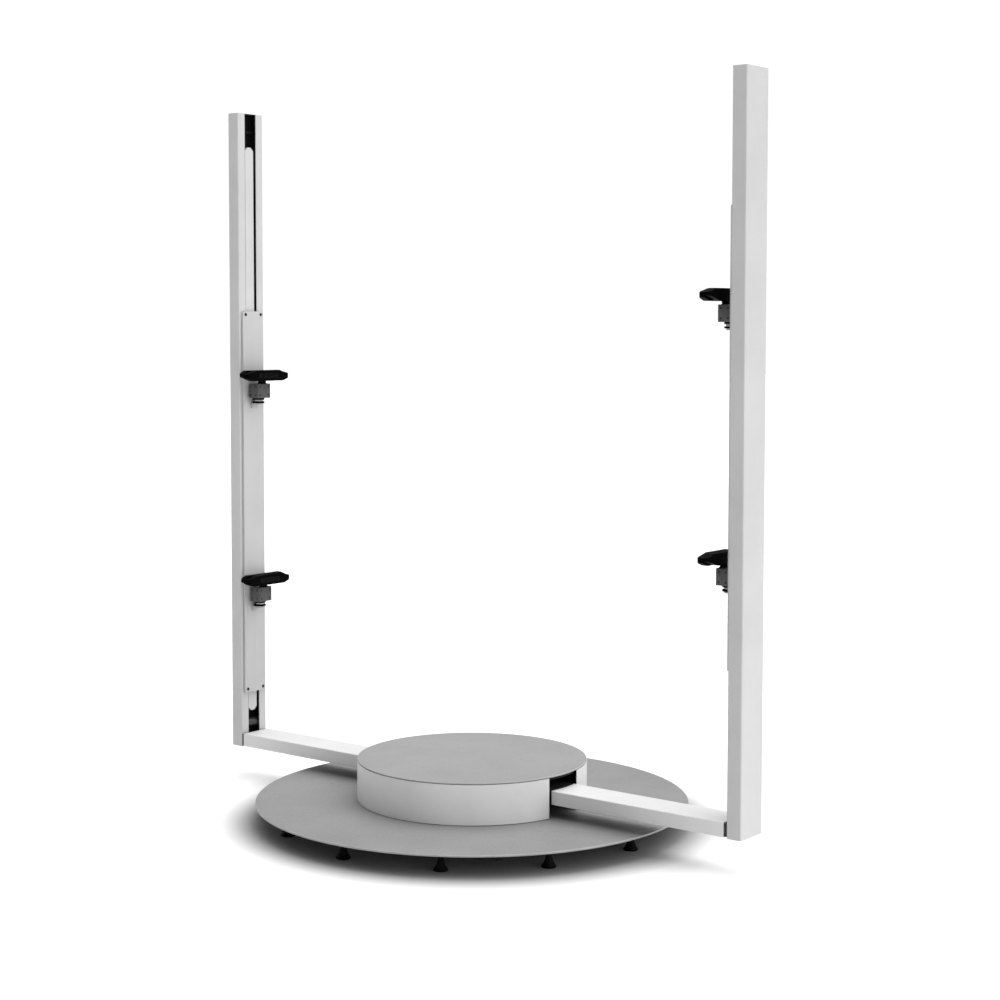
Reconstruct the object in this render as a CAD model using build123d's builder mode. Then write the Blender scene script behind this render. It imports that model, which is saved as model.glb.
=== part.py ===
"""Rotating body-scanner stand: fixed step on a base disc, a turning arm with two columns, and four
depth cameras on two lifting carriages.

Frame: origin on the floor under the turning axis, +Z up, +X along the beam towards the right column.
Units are millimetres.
"""
from build123d import *
import math
import os

os.makedirs("parts", exist_ok=True)

# ---- base disc, ribs, feet, power inlet ----------------------------------------------------------
DISC_RADIUS = 565.0
DISC_THICKNESS = 5.0
DISC_EDGE = 0.8
FOOT_HEIGHT = 50.0
FOOT_COUNT = 12
FOOT_INSET = 65.0
FOOT_PAD_RADIUS = 18.0
FOOT_PAD_THICKNESS = 5.0
FOOT_NECK_RADIUS = 7.0
FOOT_STUD_RADIUS = 5.0
FOOT_STUD_REACH = 3.5
RIB_COUNT = 6
RIB_HEIGHT = 18.0
RIB_WIDTH = 6.0
RIB_RING_MARGIN = 18.0
RIB_END_INSET = 35.0
INLET_X = -125.0
INLET_INSET = 85.0
INLET_DEPTH = 40.0
INLET_WIDTH = 52.0
INLET_HEIGHT = 30.0
INLET_RIM = 5.0
INLET_SOCKET_DEPTH = 24.0
DISC_TOP = FOOT_HEIGHT + DISC_THICKNESS
FOOT_CIRCLE = DISC_RADIUS - FOOT_INSET
FIRST_RIB_ANGLE = 180.0 / FOOT_COUNT

# ---- columns ---------------------------------------------------------------------------------------
ARM_REACH = 801.0
COLUMN_WIDTH = 98.0
COLUMN_DEPTH = 39.0
COLUMN_WALL = 3.0
COLUMN_LENGTH = 1796.0
COLUMN_DROP = 1.5
COLUMN_CORNER = 3.5
SLOT_WIDTH = 44.0
CAP_THICKNESS = 3.0

# ---- beam ------------------------------------------------------------------------------------------
BEAM_WIDTH = 100.0
BEAM_HEIGHT = 36.0
BEAM_WALL = 3.0
BEAM_CLEARANCE = 34.0
BEAM_CORNER = 2.5
BEAM_BOTTOM = DISC_TOP + BEAM_CLEARANCE
BEAM_TOP = BEAM_BOTTOM + BEAM_HEIGHT
COLUMN_BOTTOM = BEAM_BOTTOM - COLUMN_DROP
COLUMN_TOP = COLUMN_BOTTOM + COLUMN_LENGTH
COLUMN_BACK = ARM_REACH + COLUMN_DEPTH
CHANNEL_FRONT = ARM_REACH + COLUMN_WALL
CHANNEL_BACK = COLUMN_BACK - COLUMN_WALL
CHANNEL_DEPTH = CHANNEL_BACK - CHANNEL_FRONT
CHANNEL_HALF_WIDTH = COLUMN_WIDTH / 2 - COLUMN_WALL

# ---- joint between beam and column -----------------------------------------------------------------
PLUG_COLLAR = 8.0
PLUG_RECESS = 2.0
PLUG_DEPTH = 24.0
PLUG_CLEARANCE = 0.2
JOINT_BOLT_INSET = 10.0
JOINT_BOLT_REACH = 28.0
JOINT_BOLT_Y = (SLOT_WIDTH / 2 + CHANNEL_HALF_WIDTH) / 2
JOINT_BOLT_Z = (BEAM_BOTTOM + JOINT_BOLT_INSET, BEAM_TOP - JOINT_BOLT_INSET)
BEAM_END = ARM_REACH - PLUG_COLLAR

# ---- screws ------------------------------------------------------------------------------------
M6_RADIUS = 3.0
M6_HEAD_RADIUS = 5.0
M6_HEAD_HEIGHT = 4.0
HOLE_CLEARANCE = 0.3
TIP_CLEARANCE = 1.0
SCREW_RING_COUNT = 8
HALF_STEP_ANGLE = 180.0 / SCREW_RING_COUNT

# ---- centre post and slewing bearing -----------------------------------------------------------------
POST_RADIUS = 60.0
POST_WALL = 10.0
POST_FLANGE_THICKNESS = 8.0
POST_FLANGE_MARGIN = 4.0
POST_COLLAR_WIDTH = 7.0
POST_COLLAR_HEIGHT = 2.0
INNER_RACE_WIDTH = 11.5
OUTER_RACE_WIDTH = 13.5
RACE_GAP = 2.5
BALL_RADIUS = 5.0
BALL_COUNT = 24
BALL_CLEARANCE = 0.05
TURNTABLE_THICKNESS = 6.0
FLANGE_BOLT_INSET = 14.0
RING_BOLT_INSET = 5.5
RING_BOLT_REACH = 12.0
HUB_BOLT_REACH = 12.0
SPOKE_CLEARANCE = 6.0
BALL_CIRCLE = POST_RADIUS + INNER_RACE_WIDTH + RACE_GAP
BEARING_OUTER = BALL_CIRCLE + RACE_GAP + OUTER_RACE_WIDTH
POST_FLANGE_RADIUS = BEARING_OUTER + POST_FLANGE_MARGIN
FLANGE_TOP = DISC_TOP + POST_FLANGE_THICKNESS
FLANGE_BOLT_CIRCLE = POST_FLANGE_RADIUS - FLANGE_BOLT_INSET
TURNTABLE_BOTTOM = BEAM_BOTTOM - TURNTABLE_THICKNESS
TURNTABLE_TOP = BEAM_BOTTOM
BEARING_BOTTOM = FLANGE_TOP + POST_COLLAR_HEIGHT
BEARING_TOP = TURNTABLE_BOTTOM
BEARING_MIDDLE = (BEARING_BOTTOM + BEARING_TOP) / 2
RING_BOLT_CIRCLE = BEARING_OUTER - RING_BOLT_INSET
POST_TOP = BEAM_TOP + SPOKE_CLEARANCE
HUB_BOLT_CIRCLE = POST_RADIUS - POST_WALL / 2

# ---- spin drive: fixed sun gear, pinion and motor that ride on the turntable ---------------------------
GEAR_MODULE = 2.0
PRESSURE_ANGLE = math.radians(20.0)
GEAR_BACKLASH = 0.20
ROOT_DEPTH = 1.25
PINION_TEETH = 20
SUN_GAP = 1.5
SUN_RING_WIDTH = 24.5
SUN_THICKNESS = 12.0
SUN_BOLT_INSET = 8.5
PINION_LIFT = 1.5
PINION_THICKNESS = 10.0
PINION_SHAFT_RADIUS = 4.0
SHAFT_HOLE_CLEARANCE = 1.0
RUNNING_CLEARANCE = 0.05
SPIN_MOTOR_RADIUS = 30.0
SPIN_MOTOR_HEIGHT = 34.0
SPIN_MOTOR_FLANGE = 8.0
SPIN_MOTOR_CORNER = 6.0
SPIN_MOTOR_STEP = 2.0
SHAFT_REACH = 20.0
SUN_BORE = POST_FLANGE_RADIUS + SUN_GAP
SUN_BOLT_CIRCLE = SUN_BORE + SUN_BOLT_INSET
SUN_TEETH = round(2 * (SUN_BORE + SUN_RING_WIDTH) / GEAR_MODULE)
PINION_CENTRE = GEAR_MODULE * (SUN_TEETH + PINION_TEETH) / 2
PINION_DIRECTION = 90.0

# ---- slip ring, brushes, control unit ------------------------------------------------------------------
SLIP_RING_LIFT = 4.0
SLIP_RING_HEIGHT = 24.0
SLIP_RING_WALL = 6.0
TRACK_COUNT = 4
TRACK_WIDTH = 3.0
TRACK_DEPTH = 1.0
BRUSH_WIDTH = 20.0
BRUSH_LENGTH = 22.0
BRUSH_GAP = 2.0
BRUSH_TIP_SIZE = (4.0, 2.0)
BRUSH_TIP_CLEARANCE = 0.3
CONTROL_LENGTH = 130.0
CONTROL_WIDTH = 80.0
CONTROL_HEIGHT = 33.0
CONTROL_CORNER = 4.0
CONTROL_EDGE = 2.0
CONTROL_INSET = 110.0
SLIP_RING_BOTTOM = TURNTABLE_TOP + SLIP_RING_LIFT
SLIP_RING_TOP = SLIP_RING_BOTTOM + SLIP_RING_HEIGHT
SLIP_RING_RADIUS = POST_RADIUS + SLIP_RING_WALL

# ---- step that a person stands on, and the skirt that turns round it ------------------------------------
PLATFORM_RADIUS = 300.0
PLATFORM_HEIGHT = 107.0
PLATFORM_THICKNESS = 3.5
PLATFORM_EDGE = 0.6
HUB_THICKNESS = 5.0
SPOKE_COUNT = 8
SPOKE_WIDTH = 8.0
SPOKE_OVERLAP = 2.0
RIM_WIDTH = 8.0
RIM_INSET = 8.0
RIM_HEIGHT = 8.0
SKIRT_WALL = 2.0
SKIRT_FLOOR_GAP = 1.5
SKIRT_TOP_GAP = 1.0
SKIRT_FLANGE_WIDTH = 28.0
SKIRT_FLANGE_THICKNESS = 2.0
SKIRT_SCREW_INSET = 17.0
SKIRT_SCREW_ANGLES = (30.0, 60.0, 90.0, 120.0, 150.0)
SKIRT_OPENING_CLEARANCE = 9.0
TURNTABLE_GAP = 4.0
TURNTABLE_BORE_MARGIN = 1.0
BEAM_START_MARGIN = 10.0
BEAM_BOLT_STATIONS = (30.0, 150.0)
BEAM_BOLT_Y = 30.0
PLATFORM_TOP = DISC_TOP + PLATFORM_HEIGHT
FRAME_TOP = PLATFORM_TOP - PLATFORM_THICKNESS
RIM_RADIUS = PLATFORM_RADIUS - RIM_INSET
SKIRT_BOTTOM = DISC_TOP + SKIRT_FLOOR_GAP
SKIRT_TOP = FRAME_TOP - SKIRT_TOP_GAP
SKIRT_INNER = PLATFORM_RADIUS - SKIRT_WALL
SKIRT_SCREW_RADIUS = SKIRT_INNER - SKIRT_SCREW_INSET
SKIRT_OPENING_HALF = BEAM_WIDTH / 2 + SKIRT_OPENING_CLEARANCE
TURNTABLE_RADIUS = SKIRT_INNER - TURNTABLE_GAP
TURNTABLE_BORE = BALL_CIRCLE + RACE_GAP + TURNTABLE_BORE_MARGIN
BEAM_START = BEARING_OUTER + BEAM_START_MARGIN
BEAM_BOLTS_X = tuple(BEAM_START + station for station in BEAM_BOLT_STATIONS)
CONTROL_Y = CONTROL_INSET - PLATFORM_RADIUS

# ---- rail in each column -----------------------------------------------------------------------------
SLIDE_CLEARANCE = 0.3
RUNNER_SIDE_GAP = 1.0
JAW_THICKNESS = 4.7
RAIL_HEIGHT = 31.0
RAIL_HEAD = 9.0
RAIL_FOOT = 6.0
RAIL_UNDERCUT = 6.0
RAIL_BOTTOM_MARGIN = 97.5
RAIL_TOP_MARGIN = 93.5
RAIL_CHAMFER = 10.0
RUNNER_HALF = SLOT_WIDTH / 2 - RUNNER_SIDE_GAP
RAIL_WIDTH = 2 * (RUNNER_HALF - JAW_THICKNESS - SLIDE_CLEARANCE)
RAIL_WEB_WIDTH = RAIL_WIDTH - 2 * RAIL_UNDERCUT
RAIL_FRONT = CHANNEL_BACK - RAIL_HEIGHT
RAIL_BOTTOM = COLUMN_BOTTOM + RAIL_BOTTOM_MARGIN
RAIL_TOP = COLUMN_TOP - RAIL_TOP_MARGIN

# ---- carriage: plate, runner blocks, belt clamp ------------------------------------------------------
PLATE_SIDE_MARGIN = 9.0
PLATE_LENGTH = 1086.0
PLATE_THICKNESS = 6.0
PLATE_RIDGE = 2.0
PLATE_GAP = 1.0
PLATE_CHAMFER = 4.0
PLATE_SCREW_INSET = 9.0
PLATE_SCREW_EDGE = 10.0
PLATE_SCREW_RADIUS = 2.6
RUNNER_LENGTH = 60.0
RUNNER_INSET = 90.0
RUNNER_COUNT = 3
HOOK_DEPTH = 3.5
HOOK_CLEARANCE = 0.8
CLAMP_LENGTH = 30.0
CLAMP_LIP = 2.0
CLAMP_CLEARANCE = 0.5
PLATE_BOTTOMS = {"left": 242.0, "right": 483.0}
PLATE_WIDTH = COLUMN_WIDTH - 2 * PLATE_SIDE_MARGIN
PLATE_BACK = ARM_REACH - PLATE_GAP
PLATE_FACE = PLATE_BACK - PLATE_THICKNESS
PLATE_SCREW_Y = PLATE_WIDTH / 2 - PLATE_SCREW_EDGE

# ---- belt drive in each column -------------------------------------------------------------------------
BELT_PITCH = 3.0
BELT_THICKNESS = 1.4
BELT_WIDTH = 9.0
BELT_ROOM = 5.0
BELT_GAP = 11.0
PULLEY_WIDTH = 10.0
PULLEY_TOOTH_DEPTH = 1.2
PULLEY_SHAFT_RADIUS = 2.5
AXLE_SHOULDER = 3.0
AXLE_END_PLAY = 0.5
DRIVE_LIFT = 60.0
IDLER_DROP = 50.0
MOTOR_SIDE_GAP = 2.5
MOTOR_LENGTH = 58.0
MOTOR_GAP = 3.0
MOTOR_BRACKET = 4.0
SHAFT_INTO_MOTOR = 15.0
PULLEY_TEETH = int(2 * math.pi * (CHANNEL_DEPTH / 2 - BELT_ROOM) / BELT_PITCH)
PULLEY_RADIUS = PULLEY_TEETH * BELT_PITCH / (2 * math.pi)
PULLEY_X = (CHANNEL_FRONT + CHANNEL_BACK) / 2
BELT_Y = RUNNER_HALF + BELT_GAP
DRIVE_Z = COLUMN_BOTTOM + DRIVE_LIFT
IDLER_Z = COLUMN_TOP - IDLER_DROP
MOTOR_RADIUS = CHANNEL_DEPTH / 2 - MOTOR_SIDE_GAP

# ---- depth cameras: heights are those of the mount blocks' tops -----------------------------------------
SENSOR_HEIGHTS = {
    ("left", "upper"): 1124.0,
    ("left", "lower"): 545.0,
    ("right", "upper"): 1338.0,
    ("right", "lower"): 720.0,
}
BLOCK_DEPTH = 36.0
BLOCK_WIDTH = 51.0
BLOCK_HEIGHT = 41.0
BLOCK_EDGE = 2.0
BLOCK_FORWARD = 4.0
BLOCK_HOLE_RADIUS = 2.5
BLOCK_HOLE_DEPTH = 3.0
BLOCK_HOLE_EDGE = 8.5
PAN_OFFSET = 20.0
PAN_GAP = 0.3
LOCK_DISC_RADIUS = 16.5
LOCK_DISC_THICKNESS = 5.0
SPACER_RADIUS = 12.5
SPACER_THICKNESS = 4.5
SHELF_THICKNESS = 4.0
SHELF_WIDTH = 24.0
SHELF_LEG = 14.0
NECK_HEIGHT = 8.0
NECK_FORWARD = 14.0
NECK_WAIST = 6.0
NECK_FLARE = 8.0
KNUCKLE_RADIUS = 8.0
KNUCKLE_WIDTH = 18.0
KNUCKLE_SIDE_GAP = 0.5
HOUSING_LENGTH = 172.0
HOUSING_DEPTH = 36.0
HOUSING_HEIGHT = 30.0
HOUSING_FORWARD = 8.0
HOUSING_CORNER = 12.0
FRONT_TOP_CUT = (43.0, 10.0)
FRONT_BOTTOM_CUT = (26.0, 9.0)
REAR_TOP_CUT = (22.0, 10.0)
REAR_BOTTOM_CUT = (48.0, 13.0)
WINDOW_LENGTH = 82.0
WINDOW_HEIGHT = 15.0
WINDOW_THICKNESS = 2.0
WINDOW_PROUD = 0.6
WINDOW_CORNER = 7.0
WINDOW_FIT = 0.1
PAN_X = PLATE_FACE - PAN_OFFSET
BLOCK_X = PAN_X - BLOCK_FORWARD
TILT_X = PAN_X - NECK_FORWARD
HOUSING_X = TILT_X - HOUSING_FORWARD
STACK_HEIGHT = LOCK_DISC_THICKNESS + PAN_GAP + SPACER_THICKNESS + LOCK_DISC_THICKNESS

RIGHT = Plane.XY
LEFT = Plane(origin=(0, 0, 0), x_dir=(-1, 0, 0), z_dir=(0, 0, 1))
SIDES = {"left": LEFT, "right": RIGHT}


def save(piece, name):
    """Label a finished piece and write its STEP file."""
    piece.label = name
    export_step(piece, f"parts/{name}.step")


def level(side, height):
    """Horizontal plane of one side's frame at a height above the floor."""
    return side.offset(height)


def crosswise(side, x, y, z):
    """Plane at a point of one side's frame, its normal along that side's Y."""
    return Plane(origin=side.from_local_coords((x, y, z)), x_dir=side.x_dir, z_dir=side.y_dir)


def outward(side, x, y, z):
    """Plane at a point of one side's frame, its normal along that side's X, away from the axis."""
    return Plane(origin=side.from_local_coords((x, y, z)), x_dir=side.y_dir, z_dir=side.x_dir)


def bounded_rectangle(x_low, x_high, y_low, y_high):
    """Add a rectangle to the sketch that is open, from its four limits."""
    with Locations(((x_low + x_high) / 2, (y_low + y_high) / 2)):
        Rectangle(x_high - x_low, y_high - y_low)


# =================================================================================================
# Base: disc, ribs, feet, power inlet
# =================================================================================================
def make_base_disc():
    with BuildPart() as base_disc:
        with BuildSketch(Plane.XY.offset(FOOT_HEIGHT)):
            Circle(DISC_RADIUS)
        extrude(amount=DISC_THICKNESS)
        rim = base_disc.edges().filter_by(GeomType.CIRCLE).group_by(Axis.Z)[-1]
        fillet(rim, radius=DISC_EDGE)
        with BuildSketch(Plane.XY.offset(FOOT_HEIGHT)):
            with PolarLocations(FOOT_CIRCLE, FOOT_COUNT):
                Circle(FOOT_STUD_RADIUS + HOLE_CLEARANCE)
        extrude(amount=FOOT_STUD_REACH, mode=Mode.SUBTRACT)
        with BuildSketch(Plane.XY.offset(FOOT_HEIGHT)):
            with PolarLocations(FLANGE_BOLT_CIRCLE, SCREW_RING_COUNT):
                Circle(M6_RADIUS + HOLE_CLEARANCE)
            with PolarLocations(SUN_BOLT_CIRCLE, SCREW_RING_COUNT):
                Circle(M6_RADIUS + HOLE_CLEARANCE)
        extrude(amount=DISC_THICKNESS, mode=Mode.SUBTRACT)
    save(base_disc.part, "base_disc")


def make_base_ribs():
    rib_inner = POST_FLANGE_RADIUS + RIB_RING_MARGIN
    rib_outer = DISC_RADIUS - RIB_END_INSET
    rib_start = rib_inner + RIB_WIDTH / 2
    rib_bottom = FOOT_HEIGHT - RIB_HEIGHT
    with BuildPart() as base_ribs:
        with BuildSketch(Plane.XY.offset(rib_bottom)):
            Circle(rib_inner + RIB_WIDTH)
            Circle(rib_inner, mode=Mode.SUBTRACT)
            with PolarLocations((rib_outer + rib_start) / 2, RIB_COUNT, start_angle=FIRST_RIB_ANGLE):
                Rectangle(rib_outer - rib_start, RIB_WIDTH)
        extrude(amount=RIB_HEIGHT)
    save(base_ribs.part, "base_ribs")


def make_levelling_feet():
    with BuildPart() as levelling_feet:
        with BuildSketch(Plane.XZ):
            with BuildLine():
                Polyline(
                    (0, 0),
                    (FOOT_PAD_RADIUS, 0),
                    (FOOT_PAD_RADIUS, FOOT_PAD_THICKNESS),
                    (FOOT_NECK_RADIUS, FOOT_HEIGHT),
                    (FOOT_STUD_RADIUS, FOOT_HEIGHT),
                    (FOOT_STUD_RADIUS, FOOT_HEIGHT + FOOT_STUD_REACH),
                    (0, FOOT_HEIGHT + FOOT_STUD_REACH),
                    close=True,
                )
            make_face()
        foot = revolve(axis=Axis.Z, mode=Mode.PRIVATE)
        with PolarLocations(FOOT_CIRCLE, FOOT_COUNT):
            add(foot)
    save(levelling_feet.part, "levelling_feet")


def make_power_inlet():
    """Mains inlet under the disc's rear edge, its socket facing away from the axis."""
    bottom = FOOT_HEIGHT - INLET_HEIGHT
    centre_y = DISC_RADIUS - INLET_INSET
    with BuildPart() as power_inlet:
        with BuildSketch(Plane.XY.offset(bottom)):
            with Locations((INLET_X, centre_y)):
                Rectangle(INLET_WIDTH, INLET_DEPTH)
        extrude(amount=INLET_HEIGHT)
        mouth = crosswise(RIGHT, INLET_X, centre_y + INLET_DEPTH / 2, bottom + INLET_HEIGHT / 2)
        with BuildSketch(mouth):
            Rectangle(INLET_WIDTH - 2 * INLET_RIM, INLET_HEIGHT - 2 * INLET_RIM)
        extrude(amount=-INLET_SOCKET_DEPTH, mode=Mode.SUBTRACT)
    save(power_inlet.part, "power_inlet")


# =================================================================================================
# Centre: post, bearing, sun gear, slip ring
# =================================================================================================


def gear_outline(teeth, first_tooth_angle):
    """Closed involute outline of a spur gear: root, flank, tip, flank for each tooth in turn."""
    pitch = GEAR_MODULE * teeth / 2
    base = pitch * math.cos(PRESSURE_ANGLE)
    root = pitch - ROOT_DEPTH * GEAR_MODULE
    tip = pitch + GEAR_MODULE
    flank_start = max(root, base)
    involute_at_pitch = math.tan(PRESSURE_ANGLE) - PRESSURE_ANGLE
    half_at_pitch = math.pi / (2 * teeth) - GEAR_BACKLASH / (4 * pitch)

    def half_angle(radius):
        """Half of the tooth's angular thickness where its flank reaches a radius."""
        local = math.acos(min(1.0, base / radius))
        return half_at_pitch + involute_at_pitch - (math.tan(local) - local)

    radii = [root] + [flank_start + (tip - flank_start) * step / 4 for step in range(5)]
    rising = [(radius, -half_angle(max(radius, flank_start))) for radius in radii]
    falling = [(radius, -angle) for radius, angle in reversed(rising)]
    points = []
    for tooth in range(teeth):
        centre = math.radians(first_tooth_angle) + 2 * math.pi * tooth / teeth
        for radius, angle in rising + falling:
            point = (radius * math.cos(centre + angle), radius * math.sin(centre + angle))
            if not points or math.dist(point, points[-1]) > 0.01:
                points.append(point)
    return points


def make_center_post():
    with BuildPart() as center_post:
        with BuildSketch(Plane.XY.offset(DISC_TOP)):
            Circle(POST_FLANGE_RADIUS)
        extrude(amount=POST_FLANGE_THICKNESS)
        with BuildSketch(Plane.XY.offset(FLANGE_TOP)):
            Circle(POST_RADIUS + POST_COLLAR_WIDTH)
        extrude(amount=POST_COLLAR_HEIGHT)
        with BuildSketch(Plane.XY.offset(BEARING_BOTTOM)):
            Circle(POST_RADIUS)
        extrude(amount=POST_TOP - BEARING_BOTTOM)
        with BuildSketch(Plane.XY.offset(DISC_TOP)):
            Circle(POST_RADIUS - POST_WALL)
        extrude(amount=POST_TOP - DISC_TOP, mode=Mode.SUBTRACT)
        with BuildSketch(Plane.XY.offset(DISC_TOP)):
            with PolarLocations(FLANGE_BOLT_CIRCLE, SCREW_RING_COUNT):
                Circle(M6_RADIUS + HOLE_CLEARANCE)
        extrude(amount=POST_FLANGE_THICKNESS, mode=Mode.SUBTRACT)
        with BuildSketch(Plane.XY.offset(FLANGE_TOP - M6_HEAD_HEIGHT)):
            with PolarLocations(FLANGE_BOLT_CIRCLE, SCREW_RING_COUNT):
                Circle(M6_HEAD_RADIUS + HOLE_CLEARANCE)
        extrude(amount=M6_HEAD_HEIGHT, mode=Mode.SUBTRACT)
        with BuildSketch(Plane.XY.offset(POST_TOP - HUB_BOLT_REACH)):
            with PolarLocations(HUB_BOLT_CIRCLE, SCREW_RING_COUNT):
                Circle(M6_RADIUS + HOLE_CLEARANCE)
        extrude(amount=HUB_BOLT_REACH, mode=Mode.SUBTRACT)
    save(center_post.part, "center_post")


def make_bearing_ring(name, inner, outer, bolt_count):
    """One race of the slewing bearing, with bolt_count tapped holes in its top face."""
    with BuildPart() as ring:
        with BuildSketch(Plane.XZ):
            bounded_rectangle(inner, outer, BEARING_BOTTOM, BEARING_TOP)
            with Locations((BALL_CIRCLE, BEARING_MIDDLE)):
                Circle(BALL_RADIUS + BALL_CLEARANCE, mode=Mode.SUBTRACT)
        revolve(axis=Axis.Z)
        if bolt_count:
            with BuildSketch(Plane.XY.offset(BEARING_TOP)):
                with PolarLocations(RING_BOLT_CIRCLE, bolt_count, start_angle=HALF_STEP_ANGLE):
                    Circle(M6_RADIUS + HOLE_CLEARANCE)
            extrude(amount=-RING_BOLT_REACH, mode=Mode.SUBTRACT)
    save(ring.part, name)


def make_bearing_balls():
    with BuildPart() as bearing_balls:
        with Locations((0, 0, BEARING_MIDDLE)):
            with PolarLocations(BALL_CIRCLE, BALL_COUNT):
                Sphere(BALL_RADIUS)
    save(bearing_balls.part, "bearing_balls")


def make_sun_gear():
    with BuildPart() as sun_gear:
        with BuildSketch(Plane.XY.offset(DISC_TOP)):
            with BuildLine():
                Polyline(*gear_outline(SUN_TEETH, PINION_DIRECTION), close=True)
            make_face()
            Circle(SUN_BORE, mode=Mode.SUBTRACT)
            with PolarLocations(SUN_BOLT_CIRCLE, SCREW_RING_COUNT):
                Circle(M6_RADIUS + HOLE_CLEARANCE, mode=Mode.SUBTRACT)
        extrude(amount=SUN_THICKNESS)
    save(sun_gear.part, "sun_gear")


def track_height(index):
    """Height of the middle of one slip-ring track."""
    return SLIP_RING_BOTTOM + SLIP_RING_HEIGHT * (index + 0.5) / TRACK_COUNT


def make_slip_ring():
    with BuildPart() as slip_ring:
        with BuildSketch(Plane.XZ):
            bounded_rectangle(POST_RADIUS, SLIP_RING_RADIUS, SLIP_RING_BOTTOM, SLIP_RING_TOP)
            for index in range(TRACK_COUNT):
                with Locations((SLIP_RING_RADIUS, track_height(index))):
                    Rectangle(2 * TRACK_DEPTH, TRACK_WIDTH, mode=Mode.SUBTRACT)
        revolve(axis=Axis.Z)
    save(slip_ring.part, "slip_ring")


def cap_screw(head_z, shank_length):
    """One M6 cap screw on the Z axis, its head standing on head_z and its shank below it."""
    with BuildPart(mode=Mode.PRIVATE) as screw:
        with BuildSketch(Plane.XY.offset(head_z)):
            Circle(M6_HEAD_RADIUS)
        extrude(amount=M6_HEAD_HEIGHT)
        with BuildSketch(Plane.XY.offset(head_z - shank_length)):
            Circle(M6_RADIUS)
        extrude(amount=shank_length)
        with BuildSketch(Plane.XY.offset(head_z + M6_HEAD_HEIGHT)):
            RegularPolygon(M6_RADIUS, 6)
        extrude(amount=-M6_HEAD_HEIGHT / 2, mode=Mode.SUBTRACT)
    return screw.part


def make_post_screws():
    flange_head = FLANGE_TOP - M6_HEAD_HEIGHT
    sun_top = DISC_TOP + SUN_THICKNESS
    hub_top = POST_TOP + HUB_THICKNESS
    flange_screw = cap_screw(flange_head, flange_head - FOOT_HEIGHT)
    sun_screw = cap_screw(sun_top, sun_top - FOOT_HEIGHT)
    hub_screw = cap_screw(hub_top, HUB_THICKNESS + HUB_BOLT_REACH - TIP_CLEARANCE)
    with BuildPart() as post_screws:
        with PolarLocations(FLANGE_BOLT_CIRCLE, SCREW_RING_COUNT):
            add(flange_screw)
        with PolarLocations(SUN_BOLT_CIRCLE, SCREW_RING_COUNT):
            add(sun_screw)
        with PolarLocations(HUB_BOLT_CIRCLE, SCREW_RING_COUNT):
            add(hub_screw)
    save(post_screws.part, "post_screws")


# =================================================================================================
# Step: platform frame and top plate
# =================================================================================================


def make_platform_frame():
    spoke_inner = POST_RADIUS - SPOKE_OVERLAP
    with BuildPart() as platform_frame:
        with BuildSketch(Plane.XY.offset(POST_TOP)):
            Circle(POST_RADIUS)
            Circle(POST_RADIUS - POST_WALL, mode=Mode.SUBTRACT)
        extrude(amount=HUB_THICKNESS)
        with BuildSketch(Plane.XY.offset(POST_TOP)):
            spoke_length = RIM_RADIUS - RIM_WIDTH / 2 - spoke_inner
            with PolarLocations(spoke_inner + spoke_length / 2, SPOKE_COUNT, start_angle=HALF_STEP_ANGLE):
                Rectangle(spoke_length, SPOKE_WIDTH)
        extrude(amount=FRAME_TOP - POST_TOP)
        with BuildSketch(Plane.XY.offset(FRAME_TOP - RIM_HEIGHT)):
            Circle(RIM_RADIUS)
            Circle(RIM_RADIUS - RIM_WIDTH, mode=Mode.SUBTRACT)
        extrude(amount=RIM_HEIGHT)
        with BuildSketch(Plane.XY.offset(POST_TOP)):
            with PolarLocations(HUB_BOLT_CIRCLE, SCREW_RING_COUNT):
                Circle(M6_RADIUS + HOLE_CLEARANCE)
        extrude(amount=HUB_THICKNESS, mode=Mode.SUBTRACT)
    save(platform_frame.part, "platform_frame")


def make_platform_top():
    with BuildPart() as platform_top:
        with BuildSketch(Plane.XY.offset(FRAME_TOP)):
            Circle(PLATFORM_RADIUS)
        extrude(amount=PLATFORM_THICKNESS)
        fillet(platform_top.edges().filter_by(GeomType.CIRCLE), radius=PLATFORM_EDGE)
    save(platform_top.part, "platform_top")


# =================================================================================================
# Turning arm: turntable, skirt, motor, beams
# =================================================================================================


def make_turntable():
    with BuildPart() as turntable:
        with BuildSketch(Plane.XY.offset(TURNTABLE_BOTTOM)):
            Circle(TURNTABLE_RADIUS)
            Circle(TURNTABLE_BORE, mode=Mode.SUBTRACT)
            with PolarLocations(RING_BOLT_CIRCLE, SCREW_RING_COUNT, start_angle=HALF_STEP_ANGLE):
                Circle(M6_RADIUS + HOLE_CLEARANCE, mode=Mode.SUBTRACT)
            with Locations((0, PINION_CENTRE)):
                Circle(PINION_SHAFT_RADIUS + SHAFT_HOLE_CLEARANCE, mode=Mode.SUBTRACT)
            for side in (1, -1):
                for x in BEAM_BOLTS_X:
                    for y in (-BEAM_BOLT_Y, BEAM_BOLT_Y):
                        with Locations((side * x, y)):
                            Circle(M6_RADIUS + HOLE_CLEARANCE, mode=Mode.SUBTRACT)
                for angle in SKIRT_SCREW_ANGLES:
                    with PolarLocations(SKIRT_SCREW_RADIUS, 1, start_angle=side * angle):
                        Circle(M6_RADIUS + HOLE_CLEARANCE, mode=Mode.SUBTRACT)
        extrude(amount=TURNTABLE_THICKNESS)
    save(turntable.part, "turntable")


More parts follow.
